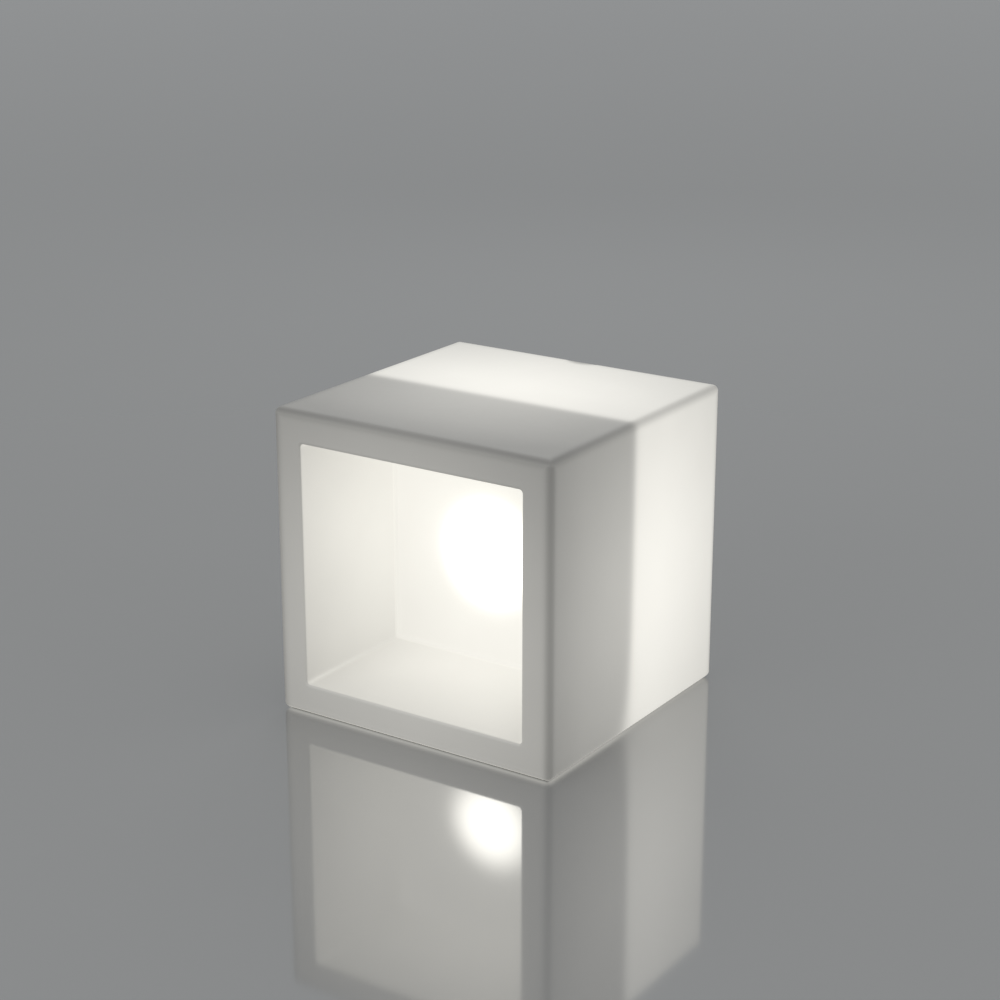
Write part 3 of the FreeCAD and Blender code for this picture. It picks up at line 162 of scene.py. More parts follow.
class Wire:  # one value in a material; + - * / ** and abs on it add Math nodes
    def __init__(self, tree, socket):
        self.tree, self.socket = tree, socket

    def math(self, operation, *values):  # the named operation on the values, in their order
        node = self.tree.nodes.new("ShaderNodeMath")
        node.operation = operation
        for slot, value in zip(node.inputs, values):
            plug(self.tree, slot, value)
        return Wire(self.tree, node.outputs[0])

    def __add__(self, other):
        return self.math("ADD", self, other)

    def __radd__(self, other):
        return self.math("ADD", other, self)

    def __sub__(self, other):
        return self.math("SUBTRACT", self, other)

    def __rsub__(self, other):
        return self.math("SUBTRACT", other, self)

    def __neg__(self):
        return self.math("SUBTRACT", 0.0, self)

    def __mul__(self, other):
        return self.math("MULTIPLY", self, other)

    def __rmul__(self, other):
        return self.math("MULTIPLY", other, self)

    def __truediv__(self, other):
        return self.math("DIVIDE", self, other)

    def __rtruediv__(self, other):
        return self.math("DIVIDE", other, self)

    def __pow__(self, other):
        return self.math("POWER", self, other)

    def __abs__(self):
        return self.math("ABSOLUTE", self)

    def exp(self):  # e to the value
        return self.math("EXPONENT", self)

    def tanh(self):  # a soft step from -1 to 1
        return self.math("TANH", self)

    def least(self, other):  # the smaller of two
        return self.math("MINIMUM", self, other)

    def most(self, other):  # the larger of two
        return self.math("MAXIMUM", self, other)

    def share(self):  # the value held between 0 and 1
        return self.most(0.0).least(1.0)


def middleOf(a, b, c):  # of three values: a + b + c without the largest and the smallest
    return a + b + c - a.most(b).most(c) - a.least(b).least(c)


class Finish:  # a material: its nodes, and the Principled shader that they feed
    def __init__(self, name):
        self.material = bpy.data.materials.new(name)
        self.material.use_nodes = True
        self.tree = self.material.node_tree
        self.shader = self.tree.nodes["Principled BSDF"]
        self.place = self.node("TexCoord", output="Object")

    def node(self, kind, settings=None, inputs=None, output=0):  # settings first, then values and links
        made = self.tree.nodes.new("ShaderNode" + kind)
        for key, value in (settings or {}).items():
            setattr(made, key, value)
        for key, value in (inputs or {}).items():
            plug(self.tree, made.inputs[key], value)
        return Wire(self.tree, made.outputs[output])

    def axes(self):  # x, y and z in millimetres
        split = self.node("SeparateXYZ", inputs={0: self.place}).socket.node
        return [Wire(self.tree, split.outputs[k]) / mm for k in range(3)]

    def grain(self, size, detail=2.0):  # soft noise whose spots are about size millimetres wide
        return self.node("TexNoise", inputs={"Vector": self.place, "Scale": 1 / (size * mm),
                                             "Detail": detail, "Roughness": 0.55})

    def blendColours(self, low, high, share):  # low * (1 - share) + high * share
        return self.node("Mix", {"data_type": "RGBA"}, {0: share, 6: (*low, 1), 7: (*high, 1)}, 2)

    def tint(self, colour, strength):  # a colour times a varying strength
        return self.node("VectorMath", {"operation": "SCALE"}, {0: colour, "Scale": strength})

    def relief(self, height, depth):  # a bump of depth millimetres
        return self.node("Bump", inputs={"Distance": depth * mm, "Height": height})

    def set(self, **sockets):  # puts values and wires on the shader's own sockets
        for key, value in sockets.items():
            plug(self.tree, self.shader.inputs[key.replace("_", " ")], value)
        return self.material


def moulded(name, low, high, rough, spot, grain=0.6, depth=0.02, coat=0.0, glow=None):
    # two near shades that drift over the piece in spots, with a share of fine grain; the roughness drifts
    # with them from rough[0] to rough[1], the grain stands out by depth, and a glow varies by its drift
    fineShare, glowDrift, coatRoughness = 0.2, 0.2, 0.08
    f = Finish(name)
    drift = f.grain(spot)
    fine = f.grain(grain, 3.0)
    sockets = {"Base_Color": f.blendColours(low, high, drift * (1 - fineShare) + fine * fineShare),
               "Roughness": rough[0] + (rough[1] - rough[0]) * drift, "Normal": f.relief(fine, depth)}
    if coat:
        sockets.update(Coat_Weight=coat, Coat_Roughness=coatRoughness)
    if glow:
        strength = 1 - glowDrift / 2 + glowDrift * drift
        sockets.update(Emission_Color=f.tint(glow, strength), Emission_Strength=1.0)
    return f.set(**sockets)


def turned(name, low, high, rough=(0.22, 0.4), pitch=0.35):
    # turned or brushed metal: fine lines along the piece, from noise that is stretched across them
    stretch, spot, depth = 12, 6.0, 0.01
    f = Finish(name)
    stretched = f.node("Mapping", inputs={"Vector": f.place, "Scale": (1, stretch, 1)})
    lines = f.node("TexNoise", inputs={"Vector": stretched, "Scale": 1 / (pitch * mm), "Detail": 2.0})
    return f.set(Base_Color=f.blendColours(low, high, lines), Metallic=1.0, Normal=f.relief(lines, depth),
                 Roughness=rough[0] + (rough[1] - rough[0]) * f.grain(spot))


def dress(piece, material):  # the piece wears this material alone
    piece.data.materials.clear()
    piece.data.materials.append(material)


def stand(piece, body, material, node):
    # puts a new piece in its place in the frame: its finish and body, and the node that it stands for,
    # which is hidden
    dress(piece, material)
    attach(piece, body)
    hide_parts(node)
    return piece


# the camera, at the photograph's angle; the focal length is in pixels of an image that is imagePixels wide
view = {"azimuth": 33.93, "elevation": 18.46, "distance": 3090, "target": (-1, 0, 292),
        "focalPixels": 2200, "imagePixels": 1000, "sensor": 36, "clipEnd": 100000}
azimuth, elevation = math.radians(view["azimuth"]), math.radians(view["elevation"])
backwards = Vector((math.sin(azimuth) * math.cos(elevation), -math.cos(azimuth) * math.cos(elevation),
                    math.sin(elevation)))
camera = bpy.data.objects.new("camera", bpy.data.cameras.new("camera"))
camera.data.sensor_width = view["sensor"]
camera.data.lens = view["sensor"] * view["focalPixels"] / view["imagePixels"]
camera.location = (Vector(view["target"]) + backwards * view["distance"]) * mm
camera.rotation_mode = "QUATERNION"
camera.rotation_quaternion = backwards.to_track_quat("Z", "Y")
camera.data.clip_end = view["clipEnd"] * mm
bpy.context.scene.collection.objects.link(camera)
bpy.context.scene.camera = camera
print("camera: azimuth", view["azimuth"], "elevation", view["elevation"])


# the cube: one milky moulding with its outer skin, niche, rear seat and the wall's inner side
cube = {"width": 450, "depth": 440, "top": 445, "underside": 1.5, "wall": 4, "edge": 9, "axis": 222.5,
        "nicheLow": 46.5, "nicheHigh": 399, "nicheHalf": 180, "nicheDepth": 210, "draft": 1.0,
        "nicheCorner": 5, "nicheBackRound": 4, "lip": 4,
        "channelHalf": 26, "channelDepth": 9, "channelLip": 4, "channelZone": 34,
        "channelFrom": (40, 5, 15),  # it starts this far off the axis, or this near the rear, over the seat
        "seat": 75, "seatFloor": 196, "port": 59,
        "seatMouth": ((2, 0), (0.6, 0.5), (0, 2)),  # outside the seat's radius, below the rear face
        "seatWall": (4, 12),  # a row below the rear face, and one above the seat's floor
        "seatFoot": ((0, 2.5), (0.6, 0.6), (2.5, 0)),  # inside the seat's radius, above its floor
        "sideRun": (40, 6),  # the sides' plain rows: behind the front, before the channel's zone
        "guard": 0.4, "leastRadius": 0.3, "roundPoints": 9, "sidePoints": 30, "outerPoints": 14,
        "backRows": (0.04, 0.2, 0.4, 0.6, 0.8, 0.95, 0.995), "borderRows": (0.02, 0.35, 0.65, 0.985),
        "rearRows": (0.015, 0.2, 0.4, 0.6, 0.8, 0.985, 1), "closingRows": (0.6, 0.04)}
halfShares = (0.12, 0.24, 0.36, 0.48, 0.6, 0.69, 0.73, 0.745, 0.76, 0.775, 0.79, 0.805, 0.82, 0.87, 1)
channelShares = [-share for share in halfShares[::-1]] + [0, *halfShares]  # columns across the zone


def channelFall(x):
    # how far the rear face lies in at x: the arc y = c - sqrt(R^2 - x^2), then the lip's arc, then nothing
    c = cube
    rear = c["depth"] / 2
    bigR = (c["channelHalf"] ** 2 + c["channelDepth"] ** 2) / (2 * c["channelDepth"])
    centreY = rear - c["channelDepth"] + bigR
    slope = math.asin(c["channelHalf"] / bigR)
    reach = c["channelLip"] * math.tan(slope / 2)
    inner, outer = c["channelHalf"] - reach * math.cos(slope), c["channelHalf"] + reach
    across = np.abs(x)
    arc = centreY - np.sqrt(np.maximum(bigR ** 2 - across ** 2, 0))
    lip = rear - c["channelLip"] + np.sqrt(np.maximum(c["channelLip"] ** 2 - (across - outer) ** 2, 0))
    return np.where(across < inner, rear - arc, np.where(across < outer, rear - lip, 0.0))


def ring(halfX, halfZ, centreZ, radius, y):
    # a rounded rectangle in a plane of constant y: over the top, down the right, back along the bottom, up
    # the left; the channel's columns keep their x on every ring, and each corner is a quarter of a circle
    zone = cube["channelZone"]
    flatX, flatZ = halfX - radius, halfZ - radius
    outer = np.linspace(zone, flatX, cube["outerPoints"])[1:]
    across = np.concatenate([-outer[::-1], np.array(channelShares) * zone, outer])
    share = np.linspace(1, -1, cube["sidePoints"])[1:-1]
    turn = np.linspace(0, np.pi / 2, cube["roundPoints"])
    corner = np.stack([np.sin(turn), np.cos(turn)], 1) * radius  # from the top of a corner to its right
    side = np.stack([np.full(len(share), halfX), share * flatZ], 1)
    right = np.concatenate([corner + (flatX, flatZ), side, corner[::-1] * (1, -1) + (flatX, -flatZ)])
    top = np.stack([across[1:-1], np.full(len(across) - 2, halfZ)], 1)
    outline = np.concatenate([top, right, top[::-1] * (1, -1), right[::-1] * (-1, 1)])
    return np.column_stack([outline[:, 0], np.full(len(outline), float(y)), outline[:, 1] + centreZ])


def disk(radius, y):
    # a circle with the same columns: |x| stays in the channel's zone, and the rest share the arcs beside it
    c = cube
    model = ring(c["width"] / 2, (c["top"] - c["underside"]) / 2, c["axis"], c["edge"], 0)
    x, z = model[:, 0], model[:, 2] - c["axis"]
    zone, nearly = c["channelZone"], 1e-6
    angle = np.arctan2(np.abs(x), z)  # 0 at the top, pi at the bottom, alike on both sides
    inZone = np.abs(x) <= zone + nearly
    low = math.atan2(zone, np.abs(z[inZone]).max())
    edge = math.asin(zone / radius)
    spread = edge + (angle - low) / (np.pi - 2 * low) * (np.pi - 2 * edge)
    straight = np.arcsin(np.clip(np.abs(x) / radius, 0, 1))
    straight = np.where(z > 0, straight, np.pi - straight)
    angle = np.where(inZone, straight, spread)
    return np.column_stack([np.sign(x) * radius * np.sin(angle), np.full(len(x), float(y)),
                            c["axis"] + radius * np.cos(angle)])


def between(start, end, shares):  # rows that run from one ring to another, start + (end - start) * share
    return [start + (end - start) * share for share in shares]


def cubeGrid():
    # rings of points from the middle of the niche's back, out over its walls and lip, the front border, the
    # four sides, the rear face and into the seat, then back on the wall's inner side, closed behind the
    # niche; a round of radius r adds the rows r (1 - sin a), r (1 - cos a) for a quarter of a turn
    c = cube
    front, rear, wall, zone = -c["depth"] / 2, c["depth"] / 2, c["wall"], c["channelZone"]
    halfX, halfZ = c["width"] / 2, (c["top"] - c["underside"]) / 2
    centreZ = (c["top"] + c["underside"]) / 2
    mouthZ, mouthCentre = (c["nicheHigh"] - c["nicheLow"]) / 2, (c["nicheHigh"] + c["nicheLow"]) / 2
    slope = math.tan(math.radians(c["draft"]))
    back, guard, count = front + c["nicheDepth"], c["guard"], c["roundPoints"]
    quarter = [(1 - math.sin(a), 1 - math.cos(a)) for a in np.linspace(0, np.pi / 2, count)]

    def nicheRing(grow, y, radius):  # the niche narrows by the draft towards its back
        inset = (y - front) * slope - grow
        return ring(c["nicheHalf"] - inset, mouthZ - inset, mouthCentre, max(radius, c["leastRadius"]), y)

    def outerRing(inset, y, radius):
        return ring(halfX - inset, halfZ - inset, centreZ, max(radius, c["leastRadius"]), y)

    r, corner = c["nicheBackRound"], c["nicheCorner"]
    flatBack = nicheRing(-r, back, corner - r)
    rows = between(np.array([0, back, mouthCentre]), flatBack, c["backRows"])
    rows += [nicheRing(-r * s, back - r * k, corner - r * s) for s, k in quarter]
    wallStart, r = back - r - guard, c["lip"]
    rows += [nicheRing(0, y, corner) for y in np.linspace(wallStart, front + r + guard, count)]
    rows += [nicheRing(r * k, front + r * s, corner + r * k) for s, k in quarter]
    r = c["edge"]
    rows += between(rows[-1], outerRing(r, front, 0), c["borderRows"])
    rows += [outerRing(r * s, front + r * k, r * (1 - s)) for s, k in quarter]
    runStart, runEnd = c["sideRun"]
    sides = [front + r + guard, *np.linspace(front + runStart, rear - zone - runEnd, count),
             *np.linspace(rear - zone, rear - r - guard, count)]
    rows += [outerRing(0, y, r) for y in sides]
    rows += [outerRing(r * k, rear - r * s, r * (1 - k)) for s, k in quarter]
    seat, floor = c["seat"], c["seatFloor"]
    (lipOut, lipDown), *mouth = c["seatMouth"]
    rows += between(rows[-1], disk(seat + lipOut, rear - lipDown), c["rearRows"])
    rows += [disk(seat + out, rear - down) for out, down in mouth]
    high, low = c["seatWall"]
    rows += [disk(seat, rear - high), disk(seat, floor + low)]
    rows += [disk(seat - inside, floor + above) for inside, above in c["seatFoot"]]
    rows += [disk(c["port"], floor), disk(c["port"], floor - wall)]
    rows += [disk(seat + wall, floor - wall), disk(seat + wall, rear - wall)]
    rows += [outerRing(wall, y, r - wall) for y in (rear - wall, rear - zone, front + wall)]
    rows += [nicheRing(wall, front + wall, corner + wall), nicheRing(wall, back + wall, corner + wall)]
    rows += between(np.array([0, back + wall, mouthCentre]), rows[-1], c["closingRows"])
    grid = np.array(rows)
    # the channel: rows in the last stretch of depth slide in by the fall at their own x, times
    # 3 s^2 - 2 s^3, where s is their share of that stretch
    x, y, z = grid[..., 0], grid[..., 1], grid[..., 2]
    share = np.clip((y - (rear - zone)) / (zone - r), 0, 1)
    offAxis, nearRear, overSeat = c["channelFrom"]
    touched = ((np.abs(z - centreZ) > offAxis) | (y > rear - nearRear)) & (y > floor + overSeat)
    grid[..., 1] = y - channelFall(x) * share * share * (3 - 2 * share) * touched
    return grid


# the light inside it, as it shows on the skin: lamp is the point that it spreads from, and the step is
# where the light chamber ends, behind the niche's back
glow = {"lamp": (-10, 50, 212.5), "reach": 222, "limit": 1.05, "colour": (1.0, 0.978, 0.905),
        "base": 0.13, "gain": 0.52, "step": (0.37, 0.02),
        "chamber": (-12.5, -16), "spread": (9, 12), "low": 60,  # its y and width, and what the base adds
        "room": 0.165, "topRoom": 0.125, "baseRoom": 0.15, "front": (0.01, 0.08), "rear": (0.07, 0.14),
        "faces": (7, 12), "seat": (8, 3), "seatRun": (150, 20), "under": (6, 1, 0.5),
        # the row below ends with a painted highlight along the lower edge: (strength, height in
        # millimetres, share lost behind the step)
        "fade": (60, 0.00045), "frontFade": (0.03, 80), "lowerEdgeHighlight": (0.85, 2.2, 0.75),
        "niche": (0.90, 0.20, 0.045), "nicheBack": (0.85, 0.037, 8), "hot": (2.0, 66),
        "nicheRise": 0.055, "nicheRoom": 0.28, "nicheZone": (10, 1.5, 0.8), "crease": (0.09, 5, 0.2, 140),
        # edge: a painted shade band along the outer rounded edges, (depth as a share, start and width in
        # millimetres)
        "edge": (0.34, 2.0, 7.5)}
milk = {"low": (0.335, 0.332, 0.320), "high": (0.350, 0.347, 0.335), "cloud": 70, "cloudShare": 0.03,
        "rough": (0.40, 0.08), "roughSpot": 9.0, "grain": 1.1, "relief": 0.012, "ior": 1.5}


def skinLight(y, z, near, across, gaps):
    # base + gain * soft, where soft = limit * tanh(near / limit), and a step up behind the niche's back,
    # whose edge leans forward near the base; less what the room's light adds to each face, and a little
    # less towards the rear and the front; a painted highlight, lowerEdgeHighlight * exp(-height /
    # lowerEdgeHighlightHeight), runs as a thin bright line along the lower edge
    c, g = cube, glow
    soft = g["limit"] * (near / g["limit"]).tanh()
    (rim, rimWidth), (seatStart, seatRun), (faceWidth, rearWidth) = g["seat"], g["seatRun"], g["faces"]
    inSeat = ((c["seat"] + rim - across ** 0.5) / rimWidth).share() * ((y - seatStart) / seatRun).share()
    onFront, onTop = (1 - gaps["front"] / faceWidth).share(), (1 - gaps["top"] / faceWidth).share()
    onRear = (1 - gaps["rear"] / rearWidth).share().most(inSeat)
    margin, above, underBlur = g["under"]
    inwards = gaps["side"].least(gaps["front"]).least(gaps["rear"])
    onBase = (inwards / margin - 1).share() * ((c["underside"] + above - z) / underBlur).share()
    (chamber, lean), (spread, blur), (step, stepGain) = g["chamber"], g["spread"], g["step"]
    low = (z / -g["low"]).exp()
    behind = 0.5 + 0.5 * ((y - chamber - lean * low) / (spread + blur * low)).tanh()
    light = g["base"] + g["gain"] * soft + behind * (step + stepGain * soft)
    # the front face's glow rises towards its foot: painted light bounced up from the floor
    (frontTop, frontFoot), (rearBase, rearShare) = g["front"], g["rear"]
    light = light - g["room"] - g["topRoom"] * onTop - g["baseRoom"] * onBase \
        - onFront * (frontTop - frontFoot * (1 - z / c["top"])) - onRear * (rearBase + rearShare * soft)
    (fadeStart, fade), (frontFade, frontReach) = g["fade"], g["frontFade"]
    light = light - fade * (y - fadeStart).most(0.0) - frontFade * (1 - gaps["front"] / frontReach).share()
    # a painted highlight: a thin bright line along the lower rounded edge, off the rear and the base,
    # weaker behind the step
    lowerEdgeHighlight, lowerEdgeHighlightHeight, lowerEdgeHighlightLoss = g["lowerEdgeHighlight"]
    atLowerEdgeHighlight = (1 - onRear) * (1 - onBase) * ((c["underside"] - z) / lowerEdgeHighlightHeight).exp()
    return light + lowerEdgeHighlight * atLowerEdgeHighlight * (1 - lowerEdgeHighlightLoss * behind)


def nicheLight(x, y, z, near, across, gaps):
    # its walls shine by top * near / (near + knee) + tail * near, and its back, which faces the lamp, by
    # plate + slope * near and a spot of hot * exp(-(distance across / spot)^4); all a bit more with height.
    # The creases are lighter by crease * exp(-(gap / width)^2), most near the mouth. What comes second is a
    # point's share in the niche, which is 1 inside it and 0 elsewhere
    c, g = cube, glow
    halfX, halfZ = c["nicheHalf"], (c["nicheHigh"] - c["nicheLow"]) / 2
    height = z - (c["nicheHigh"] + c["nicheLow"]) / 2
    margin, mouth, sharpness = g["nicheZone"]
    inside = (halfX + margin - abs(x)).least(halfZ + margin - abs(height)).least(-y)
    inNiche = (inside.least(gaps["front"] - mouth) * sharpness).share()
    toBack = c["nicheDepth"] - gaps["front"]
    (top, knee, tail), (plate, slope, turn), (hot, spot) = g["niche"], g["nicheBack"], g["hot"]
    walls = top * near / (near + knee) + tail * near
    back = plate + slope * near + hot * (-((across / spot ** 2) ** 2)).exp()
    light = walls + (back - walls) * (1 - toBack / turn).share()
    narrow = gaps["front"] * math.tan(math.radians(c["draft"]))
    corner = middleOf(halfX - narrow - abs(x), halfZ - narrow - abs(height), toBack)
    crease, width, deepShare, deep = g["crease"]
    strength = crease * (deepShare + (1 - deepShare) * (1 - gaps["front"] / deep).share())
    light = light + strength * (-((corner / width) ** 2)).exp()
    return light + g["nicheRise"] * height / (halfZ + margin) - g["nicheRoom"], inNiche


def milkyShell():
    # near = (reach / distance from the lamp)^2 drives the light of the skin and of the niche, which the
    # share in the niche blends. The outer edges, where the wall is thick, carry a painted shade band,
    # darker by depth * exp(-(gap / width)^2) in both the base colour and the glow, and the plastic's own
    # shade, light and roughness drift in soft clouds
    f = Finish("milkyPolyethylene")
    c, g, m = cube, glow, milk
    x, y, z = f.axes()
    lampX, lampY, lampZ = g["lamp"]
    across = (x - lampX) ** 2 + (z - lampZ) ** 2  # the distance from the lamp's axis, squared
    near = g["reach"] ** 2 / (across + (y - lampY) ** 2)
    fall = (c["channelDepth"] * (1 - (x / c["channelHalf"]) ** 2)).most(0.0)
    gaps = {"side": c["width"] / 2 - abs(x), "top": c["top"] - z,  # how far in from each face a point lies
            "front": y + c["depth"] / 2, "rear": c["depth"] / 2 - fall - y}
    skin = skinLight(y, z, near, across, gaps)
    niche, inNiche = nicheLight(x, y, z, near, across, gaps)
    # painted shade: a darker band along the outer rounded edges, outside the niche, in the base colour and
    # the glow
    depth, start, width = g["edge"]
    gap = middleOf(gaps["side"], gaps["front"].least(gaps["rear"]), gaps["top"])
    gap = (gap - start).most(0.0) / width
    paintedEdgeShade = 1 - depth * (1 - inNiche) * (-(gap * gap)).exp()
    cloud = f.grain(m["cloud"], 1.0)
    light = (skin * paintedEdgeShade * (1 - inNiche) + niche * inNiche).most(0.0)
    light = light * (1 - m["cloudShare"] / 2 + m["cloudShare"] * cloud)
    roughLow, roughDrift = m["rough"]
    # the painted edge shade darkens the base colour too
    return f.set(Base_Color=f.tint(f.blendColours(m["low"], m["high"], cloud), paintedEdgeShade),
                 Roughness=roughLow + roughDrift * f.grain(m["roughSpot"]), IOR=m["ior"],
                 Normal=f.relief(f.grain(m["grain"]), m["relief"]),
                 Emission_Color=f.tint(g["colour"], light), Emission_Strength=1.0)


shellFinish = milkyShell()
cubePiece = stand(surface("cubeShell", cubeGrid(), creases=50), "shell", shellFinish,
                  "cube_shell")
print("cube:", len(cubePiece.data.polygons), "faces")


# the four feet: a pad with a stepped screw hole, (radius, height) once round its section
foot = {"x": 181, "y": 176, "radius": 16, "height": 5, "hole": 4.6, "shank": 2.15, "headSeat": 3.2,
        "screwFace": 0.7, "rounds": (0.5, 1.0, 0.2, 0, 0, 0.3)}
footRubber = moulded("greyFootRubber", (0.30, 0.30, 0.295), (0.36, 0.36, 0.355), (0.7, 0.85), 7, grain=0.5)
footPath = roundPath([(foot["hole"], 0), (foot["radius"], 0), (foot["radius"], foot["height"]),
                      (foot["shank"], foot["height"]), (foot["shank"], foot["headSeat"]),
                      (foot["hole"], foot["headSeat"])], foot["rounds"], guard=0.1, closed=True)
for signX, sideways in ((-1, "left"), (1, "right")):
    for signY, lengthways in ((-1, "front"), (1, "rear")):
        pad = lathe("foot%s%s" % (lengthways.title(), sideways.title()), footPath,
                    (signX * foot["x"], signY * foot["y"], 0), axis="z", loop=True)
        stand(pad, "shell", footRubber, "foot_%s_%s" % (lengthways, sideways))
print("feet: 4 pads")


# the mouldings of the light engine's rear: node, body, slot, finish and the width of their edges' rounds
engineWhite = moulded("enginePlastic", (0.57, 0.57, 0.555), (0.61, 0.61, 0.595), (0.42, 0.55), 14,
                      grain=0.45, depth=0.03)
housingWhite = moulded("housingPlastic", (0.54, 0.54, 0.53), (0.58, 0.58, 0.57), (0.4, 0.52), 20)
mouldings = {"mountingCollar": ("mounting_collar", "shell", "engine_plastic", engineWhite, 0.5),
             "engineHousing": ("engine_housing", "light_engine", "housing_plastic", housingWhite, 0.5),
             "engineCap": ("engine_cap", "light_engine", "engine_plastic", engineWhite, 0.4),
             "portCover": ("port_cover", "port_flap", "engine_plastic", engineWhite, 0.2)}
for name, (node, body, slotName, finish, width) in mouldings.items():
    stand(softened(name, node, width), body, finish, node)
print("engine: collar, housing, cap, cover")


# the two keys: the power key has a dish for the fingertip, the dimmer key a ring, (radius, height over the
# top) from the middle out
key = {"radius": 6, "top": 213.1, "end": 200.3, "endHub": 2, "x": 17, "z": 250.5,
       "edge": 0.7, "crease": 0.3,
       "dish": [(0.5, -0.45), (2.0, -0.4), (3.4, -0.22), (4.4, 0)],
       "ringed": [(0.5, -0.05), (2.2, -0.05), (2.4, -0.35), (3.0, -0.35), (3.2, 0)]}
keyPlastic = moulded("keyPlastic", (0.17, 0.175, 0.18), (0.20, 0.205, 0.21), (0.22, 0.3), 5, grain=0.8,
                     depth=0.004, coat=0.3)
for name, side, face in (("power", -1, key["dish"]), ("dimmer", 1, key["ringed"])):
    top = [(radius, key["top"] + height) for radius, height in face]
    keyRounds = [0] + [key["crease"]] * (len(top) - 1) + [key["edge"], key["crease"], 0]
    keyPath = roundPath(top + [(key["radius"], key["top"]), (key["radius"], key["end"]),
                               (key["endHub"], key["end"])], keyRounds)
    stand(lathe(name + "Key", keyPath, (side * key["x"], 0, key["z"])), name + "_key",
          keyPlastic, name + "_button")
print("keys: power, dimmer")


# the vent plug: a mushroom head with a shallow groove (from, to, depth), where the frame has it
vent = {"head": 4.5, "shank": 2.9, "inner": 208.6, "seat": 211.6, "top": 213.2, "groove": (1.5, 2.5, 0.5),
        "grooveDraft": 0.1, "innerHub": 1, "topHub": 0.3,
        "rounds": (0, 0, 0, 0.2, 0.8, 0.1, 0.1, 0.1, 0.1, 0)}
blackPlastic = moulded("blackPlastic", (0.025, 0.025, 0.028), (0.04, 0.04, 0.043), (0.42, 0.6), 5,
                       grain=0.4)
ventLow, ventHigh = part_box("vent_plug")
grooveIn, grooveOut, grooveDepth = vent["groove"]
ventPath = roundPath([(vent["innerHub"], vent["inner"]), (vent["shank"], vent["inner"]),
                      (vent["shank"], vent["seat"]), (vent["head"], vent["seat"]),
                      (vent["head"], vent["top"]), (grooveOut + vent["grooveDraft"], vent["top"]),
                      (grooveOut, vent["top"] - grooveDepth), (grooveIn, vent["top"] - grooveDepth),
                      (grooveIn - vent["grooveDraft"], vent["top"]), (vent["topHub"], vent["top"])],
                     vent["rounds"])
ventX, ventZ = (ventLow[0] + ventHigh[0]) / 2 / mm, (ventLow[2] + ventHigh[2]) / 2 / mm
stand(lathe("ventPlug", ventPath, (ventX, 0, ventZ), turns=48), "light_engine",
      blackPlastic, "vent_plug")
print("vent plug")


# screws that show: (head radius, head height, shank radius, whole length, hexagon's apothem, its depth)
screwSizes = {"large": (3.8, 2.5, 1.95, 13.5, 1.5, 1.6), "foot": (3.8, 2.5, 1.95, 12.3, 1.5, 1.6),
              "small": (2.6, 1.8, 1.25, 7.5, 1.0, 1.1)}
screwForm = {"tip": (0.5, 0.6), "crown": 0.5, "crownMiddle": (0.12, 0.18), "chamfer": 0.15, "columns": 48}
screwCircles = {"collar": (66, 30, 201.5), "cap": (56, 15, 211.6)}  # radius, first angle, the heads' y
steel = turned("stainlessSteel", (0.42, 0.42, 0.415), (0.58, 0.58, 0.575))


def screwGrid(size, centre, axis, outwards):
    # rows run from the tip up the shank and over the head into its socket; a row of the socket follows a
    # hexagon, whose radius at angle a is apothem / cos(a - nearest flat)
    head, headHeight, shank, length, apothem, socket = screwSizes[size]
    (tipIn, tipLength), (crownIn, crownDown) = screwForm["tip"], screwForm["crownMiddle"]
    crown, chamfer = screwForm["crown"], screwForm["chamfer"]
    a = np.linspace(0, 2 * np.pi, screwForm["columns"], endpoint=False)
    flat = np.round(a / (np.pi / 3)) * np.pi / 3
    hexagon, circle = apothem / np.cos(a - flat), np.ones_like(a)
    rows = [(shank - tipIn, -length), (shank, tipLength - length), (shank, -headHeight),
            (head, -headHeight), (head, -crown), (head - crownIn, -crownDown), (head - crown, 0)]
    radius = np.array([circle * r for r, level in rows] + [hexagon + chamfer, hexagon, hexagon])
    level = np.array([level for r, level in rows] + [0, -chamfer, -socket])
    return placed(radius * np.sin(a), radius * np.cos(a), level[:, None] * outwards * circle, centre, axis)


def circlePlaces(radius, first, y):  # six places round the engine's axis, 60 degrees apart
    turns = np.radians(first + 60 * np.arange(6))
    return [(radius * math.cos(t), y, cube["axis"] + radius * math.sin(t)) for t in turns]


footPlaces = [(signX * foot["x"], signY * foot["y"], foot["screwFace"])
              for signX in (-1, 1) for signY in (-1, 1)]
for name, node, body, size, places, axis, outwards in (
        ("collarScrews", "collar_screws", "shell", "large", circlePlaces(*screwCircles["collar"]), "y", 1),
        ("capScrews", "cap_screws", "light_engine", "small", circlePlaces(*screwCircles["cap"]), "y", 1),
        ("footScrews", "foot_screws", "shell", "foot", footPlaces, "z", -1)):
    grids = [screwGrid(size, place, axis, outwards) for place in places]
    stand(surface(name, *grids, creases=30), body, steel, node)
print("screws: 16")


# finishes for the CAD nodes that stay
nickel = turned("nickel", (0.50, 0.49, 0.46), (0.62, 0.61, 0.58), rough=(0.15, 0.3))
brass = turned("brass", (0.50, 0.35, 0.12), (0.62, 0.45, 0.18))
aluminium = turned("turnedAluminium", (0.60, 0.61, 0.62), (0.70, 0.71, 0.72), rough=(0.3, 0.45), pitch=0.6)
blackRubber = moulded("blackSilicone", (0.02, 0.02, 0.02), (0.035, 0.035, 0.035), (0.55, 0.75), 4,
                      grain=0.5)
solderMask = moulded("greenSolderMask", (0.01, 0.10, 0.035), (0.02, 0.15, 0.05), (0.3, 0.45), 3, coat=0.4)
whiteMask = moulded("whiteSolderMask", (0.62, 0.62, 0.60), (0.70, 0.70, 0.68), (0.35, 0.5), 6)
cellWrap = moulded("blueCellWrap", (0.02, 0.09, 0.24), (0.03, 0.13, 0.32), (0.2, 0.35), 12, coat=0.5)
